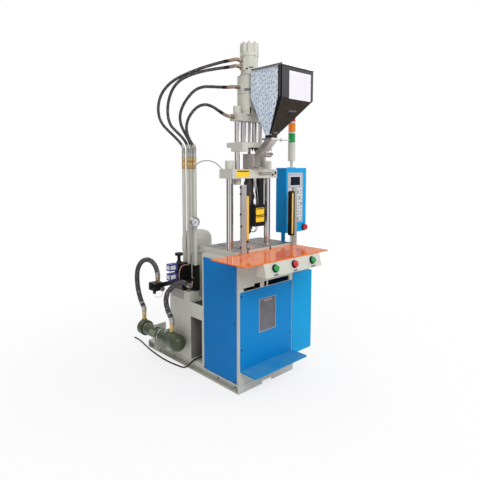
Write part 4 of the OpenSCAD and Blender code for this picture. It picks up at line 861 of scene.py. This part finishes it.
def makeBarePlates(settings, slopeSettings):
    for name, (finishNames, body, bevel, slot, boxes) in settings.items():
        shape = Shape()
        for low, high, number in boxes:
            shape.box(low, high, number)
        shape.finished(name, finishNames, body, slot, bevel)
    shape = Shape()
    down, out = Vector(slopeSettings["lean"]).normalized(), Vector(slopeSettings["out"]).normalized()
    wide, tall = slopeSettings["half"]
    side = Vector((wide, 0, 0))
    for x in slopeSettings["places"]:
        middle = Vector((x, *slopeSettings["top"])) + down * slopeSettings["drop"] + out * slopeSettings["lift"]
        shape.prism([middle - side - down * tall, middle + side - down * tall, middle + side + down * tall,
                     middle - side + down * tall], out * slopeSettings["thickness"])
    shape.finished("buttonBarePlates", "etchedPlate", "machine", "grey_plastic")


makeBarePlates(plateSettings, buttonPlates)

# Keypad: bezel, dark screen, rows of raised keys made by Geometry Nodes. Two rows have keys
# only at their right end, and every ninth key is green.
keySettings = {"low": (404, 1141), "face": -421.0, "pitch": (21.5, 24), "count": (8, 11), "shortRows": (4, 8),
               "shortFrom": 5, "greenEach": 9, "size": 14.5, "thickness": 1.6, "bevel": 0.6}


def keyBlock(tree, entry):
    extent = addNode(tree, "ShaderNodeCombineXYZ", inputs={
        "X": entry["Key Width"], "Y": entry["Key Thickness"], "Z": entry["Key Width"]})
    return {"Instance": addNode(tree, "GeometryNodeMeshCube", inputs={"Size": extent.outputs[0]}).outputs["Mesh"]}


def makeKeypad(settings):
    bezel = Shape().box((412, -422.4, 1406), (542, -420.9, 1484)).box((418, -422.8, 1411), (536, -422.3, 1479), 1)
    bezel.finished("screenBezel", "keyPlastic screenGlass", "machine", "black_plastic", 0.6)
    keys = copiesGroup("keyRows", ("Key Width", "Key Thickness"), keyBlock)
    columns, rows = settings["count"]
    (x, z), (across, rise) = settings["low"], settings["pitch"]
    places = [(x + across * i, settings["face"], z + rise * j) for i in range(columns) for j in range(rows)
              if j not in settings["shortRows"] or i >= settings["shortFrom"]]
    sizes = {"Key Width": settings["size"], "Key Thickness": settings["thickness"]}
    green = places[::settings["greenEach"]]
    for name, finish, chosen in (("paleKeys", "keyPlastic", [p for p in places if p not in green]),
                                 ("greenKeys", "greenPlastic", green)):
        placeCopies(name, keys, sizes, finish, chosen, "machine", bevel=settings["bevel"])


makeKeypad(keySettings)

# Small parts of the moving head: bolts under the injection plate, heater leads, tubes and a
# latch at the crosshead, seams, slots and a plate on the castings
headDetails = {
    "bolts": {"places": (-42, -18, 6, 30), "y": -462, "top": 1692, "outline": [(3, 0), (9, 3), (9, 9), (3, 27)]},
    "heaterWires": (-22, -12, -2, 8), "tubes": (1504, 1516),
    # height and radius of each seam
    "seams": ((2190.8, 86.3), (2067.4, 86.2), (1945, 86.3)),
    # angle, height, width, rise and radius of each slot
    "slots": ((-122, 2249, 30, 8, 62.3), (-150, 2240, 16, 10, 62.3), (-128, 1950, 12, 46, 86.4),
              (-95, 2215, 22, 7, 69.3))}


def makeHeadDetails(settings):
    bolts, shape = settings["bolts"], Shape()
    for x in bolts["places"]:
        shape.turned(bolts["outline"], (x, bolts["y"], bolts["top"]), (0, 0, -1), steps=6)
    shape.finished("platenBolts", "blackEnamel", "injection_unit", "black_paint")
    wires = Shape()
    for k, x in enumerate(settings["heaterWires"]):
        wires.lead([(x, -456, 1474), (x - 5, -462, 1440), (x - 14 + 7 * k, -466 - 2 * k, 1380), (x + 2, -474, 1330),
                    (x + 8, -470, 1287)], 2.4, k % 2)
    wires.lead([(20, -434, 1127), (16, -440, 1104), (2, -430, 1086), (-6, -416, 1084), (-4, -409, 1092)], 2.6, 1)
    wires.lead([(32, -434, 1127), (34, -438, 1110), (22, -436, 1092), (12, -421, 1082), (8, -410, 1086)], 2.2, 0)
    wires.finished("heaterWires", "zincPlate cableSheath", "moving_head", "rubber")
    tubes = Shape()
    for z in settings["tubes"]:
        tubes.lead([(30, -455, z), (36, -463, z), (50, -466, z), (120, -466, z + 3), (150, -463, z + 2),
                    (160, -455, z)], 4.4, sides=12, steps=5)
    # The dark inset and hexagon at the latch are painted shade
    tubes.box((180, -463, 1490), (216, -455, 1532), 1).box((188, -465, 1502), (206, -463, 1524), 2)
    tubes.turned([(7, 0), (7, 6)], (172, -455.2, 1498), front, 2, 6)
    tubes.finished("coolingTubes", "zincPlate machineEnamel darkHollow", "moving_head", "machined_steel", 0.5)
    marks = Shape()
    for z, radius in settings["seams"]:
        marks.collar(radius - 1.2, radius, 0, 1.6, (*head, z), steps=64)
    # Slots and seams are thin dark pieces of painted shade on the castings
    for turn, z, wide, tall, radius in settings["slots"]:
        angle = math.radians(turn)
        out = Vector((math.cos(angle), math.sin(angle), 0))
        side = Vector((-math.sin(angle), math.cos(angle), 0))
        middle = Vector((*head, z)) + out * (radius - 1.0)
        corners = [middle + side * a * wide / 2 + Vector((0, 0, b * tall / 2))
                   for a, b in ((-1, -1), (1, -1), (1, 1), (-1, 1))]
        marks.prism(corners, out * 1.2)
    marks.bentPlate(head, 86.1, -158, 4, 14, 2082, 2102, 0.8, 1)
    marks.finished("castingMarks", "darkHollow etchedPlate", "moving_head", "black_paint")


makeHeadDetails(headDetails)

# Bright clip, sight slit and latch on the hopper's sloping front, each as corners (x, z), its
# thickness and material number, and the folded strip at the corner of its filmed wall
hopperSettings = {"slope": (240, 92), "foldY": -763, "foldZ": 2008, "lap": -73.25, "clips": [
    (((28, 1929), (100, 1933), (104, 1926), (34, 1921)), 5, 0),
    (((44, 1921), (96, 1924), (92, 1914), (48, 1912)), 2.5, 1),
    (((36, 1890), (52, 1890), (22, 1812), (4, 1812)), 0.8, 2),
    (((-60, 1788), (-22, 1788), (-22, 1777), (-60, 1777)), 5, 0)]}


def makeHopperDetails(settings):
    fall, run = settings["slope"]
    out = Vector((0, -fall, -run)).normalized()
    foldY, foldZ, lap = settings["foldY"], settings["foldZ"], settings["lap"]
    shape = Shape()
    # The dark piece under the clip and the sight slit are painted shade
    for corners, thick, slot in settings["clips"]:
        shape.prism([Vector((x, foldY + (foldZ - z) * run / fall, z)) + out * 0.1 for x, z in corners],
                    out * thick, slot)
    shape.finished("hopperClips", "zincPlate darkHollow darkHollow", "moving_head", "stainless_sheet", 0.6)
    # The corner strip is painted nearly black as a reflection, with a brushed edge beside it
    strip = Shape()
    for corners, thick, slot in ((((foldY, 2210), (-727, 2210), (-727, 2012), (foldY, foldZ)), 0.6, 0),
                                 (((foldY, foldZ), (-727, 2012), (-653, 1776), (-671, 1770)), 0.6, 0),
                                 (((-746, 2209), (-742, 2209), (-742, 2011), (-746, 2011)), 0.9, 1)):
        strip.prism([(lap, y, z) for y, z in corners], (-thick, 0, 0), slot)
    strip.finished("hopperCornerStrip", "uprightStainless brushedStainless", "moving_head", "stainless_sheet")


makeHopperDetails(hopperSettings)

# Optic bars of the light curtains: the left one is an open case with a window and a foot, the
# right one a rounded dark body with a raised rim and its window
opticSettings = {"face": -517, "back": -497, "right": (303.3, 344.7, 1034, 1375), "corner": 14, "stand": 13,
                 "depth": 32.6, "halfSize": (20.7, 170), "layers": ((5.5, 0.9, 3, 0), (13, 1.4, 1, -5)),
                 "lead": 2.6, "leads": (
    [(-141, -507, 1034), (-141, -505, 1012), (-132, -498, 990), (-112, -492, 980), (-90, -486, 976.4)],
    [(324, -507, 1036), (324, -506, 1015), (330, -500, 992), (340, -492, 979), (352, -486, 976)])}


def makeOpticBars(settings):
    y0, y1 = settings["face"], settings["back"]
    shape = Shape().box((-152.7, y0 + 0.5, 1047), (-129.3, y1, 1356))
    # The window down the left bar is painted pale as a highlight
    shape.box((-146, y0 - 0.4, 1062), (-133, y0 + 0.6, 1346), 1)
    foot = ((-152.7, 1047), (-129.3, 1047), (-133, 1033), (-149, 1031))
    shape.prism([(x, y0 + 0.6, z) for x, z in foot], (0, 18, 0), 2)
    (x0, x1, low, high), corner = settings["right"], settings["corner"]
    arc = [(math.cos(math.radians(t)), math.sin(math.radians(t))) for t in range(0, 91, 15)]
    outline = [(x1 - corner + corner * a, high - corner + corner * b) for a, b in arc]
    outline += [(x0 + corner - corner * b, high - corner + corner * a) for a, b in arc]
    outline += [(x0 + corner - corner * a, low + corner - corner * b) for a, b in arc]
    outline += [(x1 - corner + corner * b, low + corner - corner * a) for a, b in arc]
    shape.prism([(x, y0 - settings["stand"], z) for x, z in outline], (0, settings["depth"], 0), 2)
    middle, level = (x0 + x1) / 2, (low + high) / 2
    wide, tall = settings["halfSize"]
    # The innermost layer is the window, painted pale as a highlight and set off centre
    for inset, rise, slot, shift in settings["layers"]:
        inner = [(middle + shift + (x - middle) * (1 - inset / wide), level + (z - level) * (1 - inset / tall))
                 for x, z in outline]
        shape.prism([(x, y0 - settings["stand"] + 0.1, z) for x, z in inner], (0, -rise, 0), slot)
    shape.finished("opticBars", "goldEnamel amberWindow blackPlastic cableSheath", "machine", "yellow_plastic",
                   0.6, ["light_curtains"])
    leads = Shape()
    for route in settings["leads"]:
        leads.lead(route, settings["lead"], sides=10)
    leads.finished("opticLeads", "cableSheath", "machine", "rubber")


makeOpticBars(opticSettings)

# A mould clamp left on the table: a bar and a block with a bolt, and a stud in its nut
clampSettings = {"top": 972.2, "bar": 984, "block": 996, "bolt": (-44, -469), "stud": (92, -450)}


def makeTableClamps(settings):
    top, bar = settings["top"], settings["bar"]
    shape = Shape().box((-78, -478, top), (-34, -460, bar)).box((-74, -474, bar), (-50, -464, settings["block"]))
    shape.turned([(9, 0), (9, 9), (6, 11), (6, 22)], (*settings["bolt"], bar), slot=1, steps=6)
    shape.turned([(10, 0), (10, 8)], (*settings["stud"], top), slot=1, steps=6)
    shape.turned([(4.5, 8), (4.5, 26)], (*settings["stud"], top), slot=1, steps=16)
    shape.finished("tableClamps", "castSteel zincPlate", "machine", "machined_steel", 1.2)


makeTableClamps(clampSettings)

# Hydraulic unit: bands and plate on the cooler, wires at the valves and the filter, the slot
# in the tank's lid, the plate on the motor's cowl, tape on the gauge's pipe and the thin line
# up to the crosshead
hydraulicSettings = {
    "bands": (250, 455), "bars": 6, "tape": ((1120, 10), (645, 34)),
    "filterWire": [(-318, 400, 514), (-322, 401, 500), (-312, 398, 484), (-292, 392, 478), (-272, 384, 486),
                   (-264, 376, 508), (-268, 368, 530), (-276, 362, 545)],
    "coilLead": [(-312, 62, 690), (-318, 58, 716), (-318, 56, 745), (-312, 55, 770), (-298, 55, 792), (-276, 56, 802),
                 (-250, 58, 800), (-226, 60, 797), (-221, 62, 797)],
    "valveLead": [(-240, -9, 738), (-262, -14, 752), (-270, -18, 786), (-262, -20, 826), (-252, -14, 862),
                  (-246, -9, 900)],
    "thinLine": [(-213, -4, 1536), (-222, -12, 1550), (-224, -40, 1572), (-222, -90, 1592), (-221, -150, 1602),
                 (-221, -215, 1598), (-222, -270, 1584), (-223, -312, 1562), (-222, -334, 1547), (-216, -340, 1541)],
    "thinLineEnds": {"start": (-0.22, -0.03, 1.56), "end": (-0.22, -0.33, 1.55)}}


def makeHydraulicDetails(settings):
    coolerX, coolerZ = coolerAxis
    bands = Shape()
    for y in settings["bands"]:
        bands.collar(47.9, 51.2, 0, 11, (coolerX, y, coolerZ), back, steps=48)
        bands.box((coolerX - 4, y + 1, 256), (coolerX + 4, y + 8, 262))
    bands.finished("coolerBands", "zincPlate", "machine", "machined_steel")
    plate = Shape().bentPlate(coolerAxis, 48.1, 140, 7, 6, 290, 372, 0.8, lying=True)
    plate.finished("coolerBarePlate", "oliveEnamel", "machine", "grey_plastic")
    Shape().lead(settings["filterWire"], 1.8).finished("filterWire", "zincPlate", "machine", "machined_steel")
    leads = Shape().lead(settings["coilLead"], 3.4, 0, 10).lead(settings["valveLead"], 2.2, 1)
    leads.finished("valveLeads", "pinkLead cableSheath", "machine", "rubber")
    # The slot is a dark plate of painted shade, with bars across it
    slot = Shape().box((-273, -160, 529.4), (-188, -48, 530.4))
    for k in range(settings["bars"]):
        slot.box((-262 + 12 * k, -40, 529.6), (-256 + 12 * k, -18, 530.5), 1)
    slot.finished("tankSlot", "darkHollow blackEnamel", "machine", "black_paint")
    plate = Shape().bentPlate(cowl, 120.2, 219, 5, 5, 898, 938, 1)
    plate.finished("motorBarePlate", "palePlate", "machine", "grey_plastic")
    wraps = Shape()
    for z, tall in settings["tape"]:
        wraps.collar(4.6, 5.6, 0, tall, (-240, -4, z), steps=20)
    wraps.finished("gaugeTape", "pinkLead", "machine", "rubber")
    thinLine = Shape().lead(settings["thinLine"], 4.2, sides=12)
    thinLine = thinLine.finished("crossheadLine", "palePlate", None, "rubber")
    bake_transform(thinLine)


makeHydraulicDetails(hydraulicSettings)

# Floor and light. Close to the machine the floor shows its shadow and further out it is
# plain white; metal sees a bright room with a few dark uprights, which chrome shows as stripes.
studioSettings = {"floor": (0.86, 0.86, 0.86, 1), "floorSize": 30, "shadowReach": (0.5, 2.6), "palest": (0.74, 1.0),
                  "stripesFrom": (1.6, 2.4), "ceiling": (0.3, 0.75), "sky": 0.6, "lampsLookAt": (0, 0, 1.2),
                  "uprights": ((0.0, 1.0), (0.085, 1.0), (0.105, 0.32), (0.15, 0.32), (0.175, 1.0), (0.29, 1.0),
                               (0.32, 0.05), (0.405, 0.05), (0.435, 0.9), (0.53, 0.62), (0.74, 0.62), (0.83, 1.0),
                               (0.855, 0.06), (0.95, 0.06), (0.975, 1.0)),
                  "lamps": (("keyLight", (-1.6, -4.0, 4.0), 105, 2.4), ("fillLight", (3.2, -2.8, 3.0), 50, 2.6),
                            ("backLight", (0.5, 3.6, 4.4), 45, 2.6))}
white = (1, 1, 1, 1)


# Light and dark uprights of a room, by the angle round the machine
def makeUprights(tree, direction, levels):
    around = addNode(tree, "ShaderNodeTexGradient", {"gradient_type": "RADIAL"}, {"Vector": direction})
    ramp = addNode(tree, "ShaderNodeValToRGB", inputs={"Fac": around.outputs["Fac"]})
    stops = ramp.color_ramp.elements
    while len(stops) > 1:
        stops.remove(stops[-1])
    for position, level in levels:
        stop = stops.new(position) if position else stops[0]
        stop.position, stop.color = position, (level, level, level, 1)
    return ramp.outputs["Color"]


def makeFloor(settings):
    mesh = bpy.data.meshes.new("floor")
    edge = settings["floorSize"]
    mesh.from_pydata([(-edge, -edge, 0), (edge, -edge, 0), (edge, edge, 0), (-edge, edge, 0)], [], [(0, 1, 2, 3)])
    floor = newObject("floor", mesh)
    tree, shader = newMaterial("paleFloor")
    setInputs(tree, shader, {"Base Color": settings["floor"], "Roughness": 0.8, "Specular IOR Level": 0.1})
    place = addNode(tree, "ShaderNodeTexCoord").outputs["Object"]
    reach = addNode(tree, "ShaderNodeVectorMath", {"operation": "LENGTH"}, {0: place}).outputs["Value"]
    whiter = addRange(tree, reach, settings["shadowReach"], settings["palest"], "SMOOTHSTEP")
    path = addNode(tree, "ShaderNodeLightPath").outputs
    seen = addMaths(tree, "MAXIMUM", path["Is Camera Ray"], path["Is Glossy Ray"])
    share = addMaths(tree, "MULTIPLY", whiter, addMaths(tree, "MAXIMUM", seen, path["Is Transmission Ray"]))
    stripes = makeUprights(tree, place, settings["uprights"])
    beyond = addRange(tree, reach, settings["stripesFrom"])
    paint = addColours(tree, addMaths(tree, "MULTIPLY", beyond, path["Is Glossy Ray"]), white, stripes)
    glow = addNode(tree, "ShaderNodeEmission", inputs={"Strength": 1.0, "Color": paint}).outputs["Emission"]
    mixed = addMixShader(tree, share, shader.outputs["BSDF"], glow)
    setInputs(tree, tree.nodes["Material Output"], {"Surface": mixed})
    mesh.materials.append(bpy.data.materials["paleFloor"])


def makeRoom(settings):
    world = bpy.data.worlds.new("studio")
    world.use_nodes = True
    bpy.context.scene.world = world
    tree = world.node_tree
    tree.nodes.clear()
    path = addNode(tree, "ShaderNodeLightPath").outputs
    way = addNode(tree, "ShaderNodeTexCoord").outputs["Generated"]
    stripes = makeUprights(tree, way, settings["uprights"])
    height = addNode(tree, "ShaderNodeSeparateXYZ", inputs={"Vector": way}).outputs["Z"]
    above = addRange(tree, height, settings["ceiling"], kind="SMOOTHSTEP")
    grounds = [addNode(tree, "ShaderNodeBackground", inputs={"Color": colour, "Strength": strength}).outputs[0]
               for colour, strength in ((white, settings["sky"]), (addColours(tree, above, stripes, white), 1.0),
                                        (white, 1.0))]
    clear = addMaths(tree, "MAXIMUM", path["Is Camera Ray"], path["Is Transmission Ray"])
    mirrored = addMixShader(tree, path["Is Glossy Ray"], grounds[0], grounds[1])
    addNode(tree, "ShaderNodeOutputWorld", inputs={"Surface": addMixShader(tree, clear, mirrored, grounds[2])})


def makeLamps(settings):
    for name, spot, power, size in settings["lamps"]:
        data = bpy.data.lights.new(name, "AREA")
        data.energy = power
        data.size = size
        lamp = newObject(name, data)
        lamp.location = spot
        aim(lamp, Vector(settings["lampsLookAt"]) - Vector(spot))


makeFloor(studioSettings)
makeRoom(studioSettings)
makeLamps(studioSettings)
bpy.context.scene.view_settings.view_transform = "Standard"
print("studio lit")
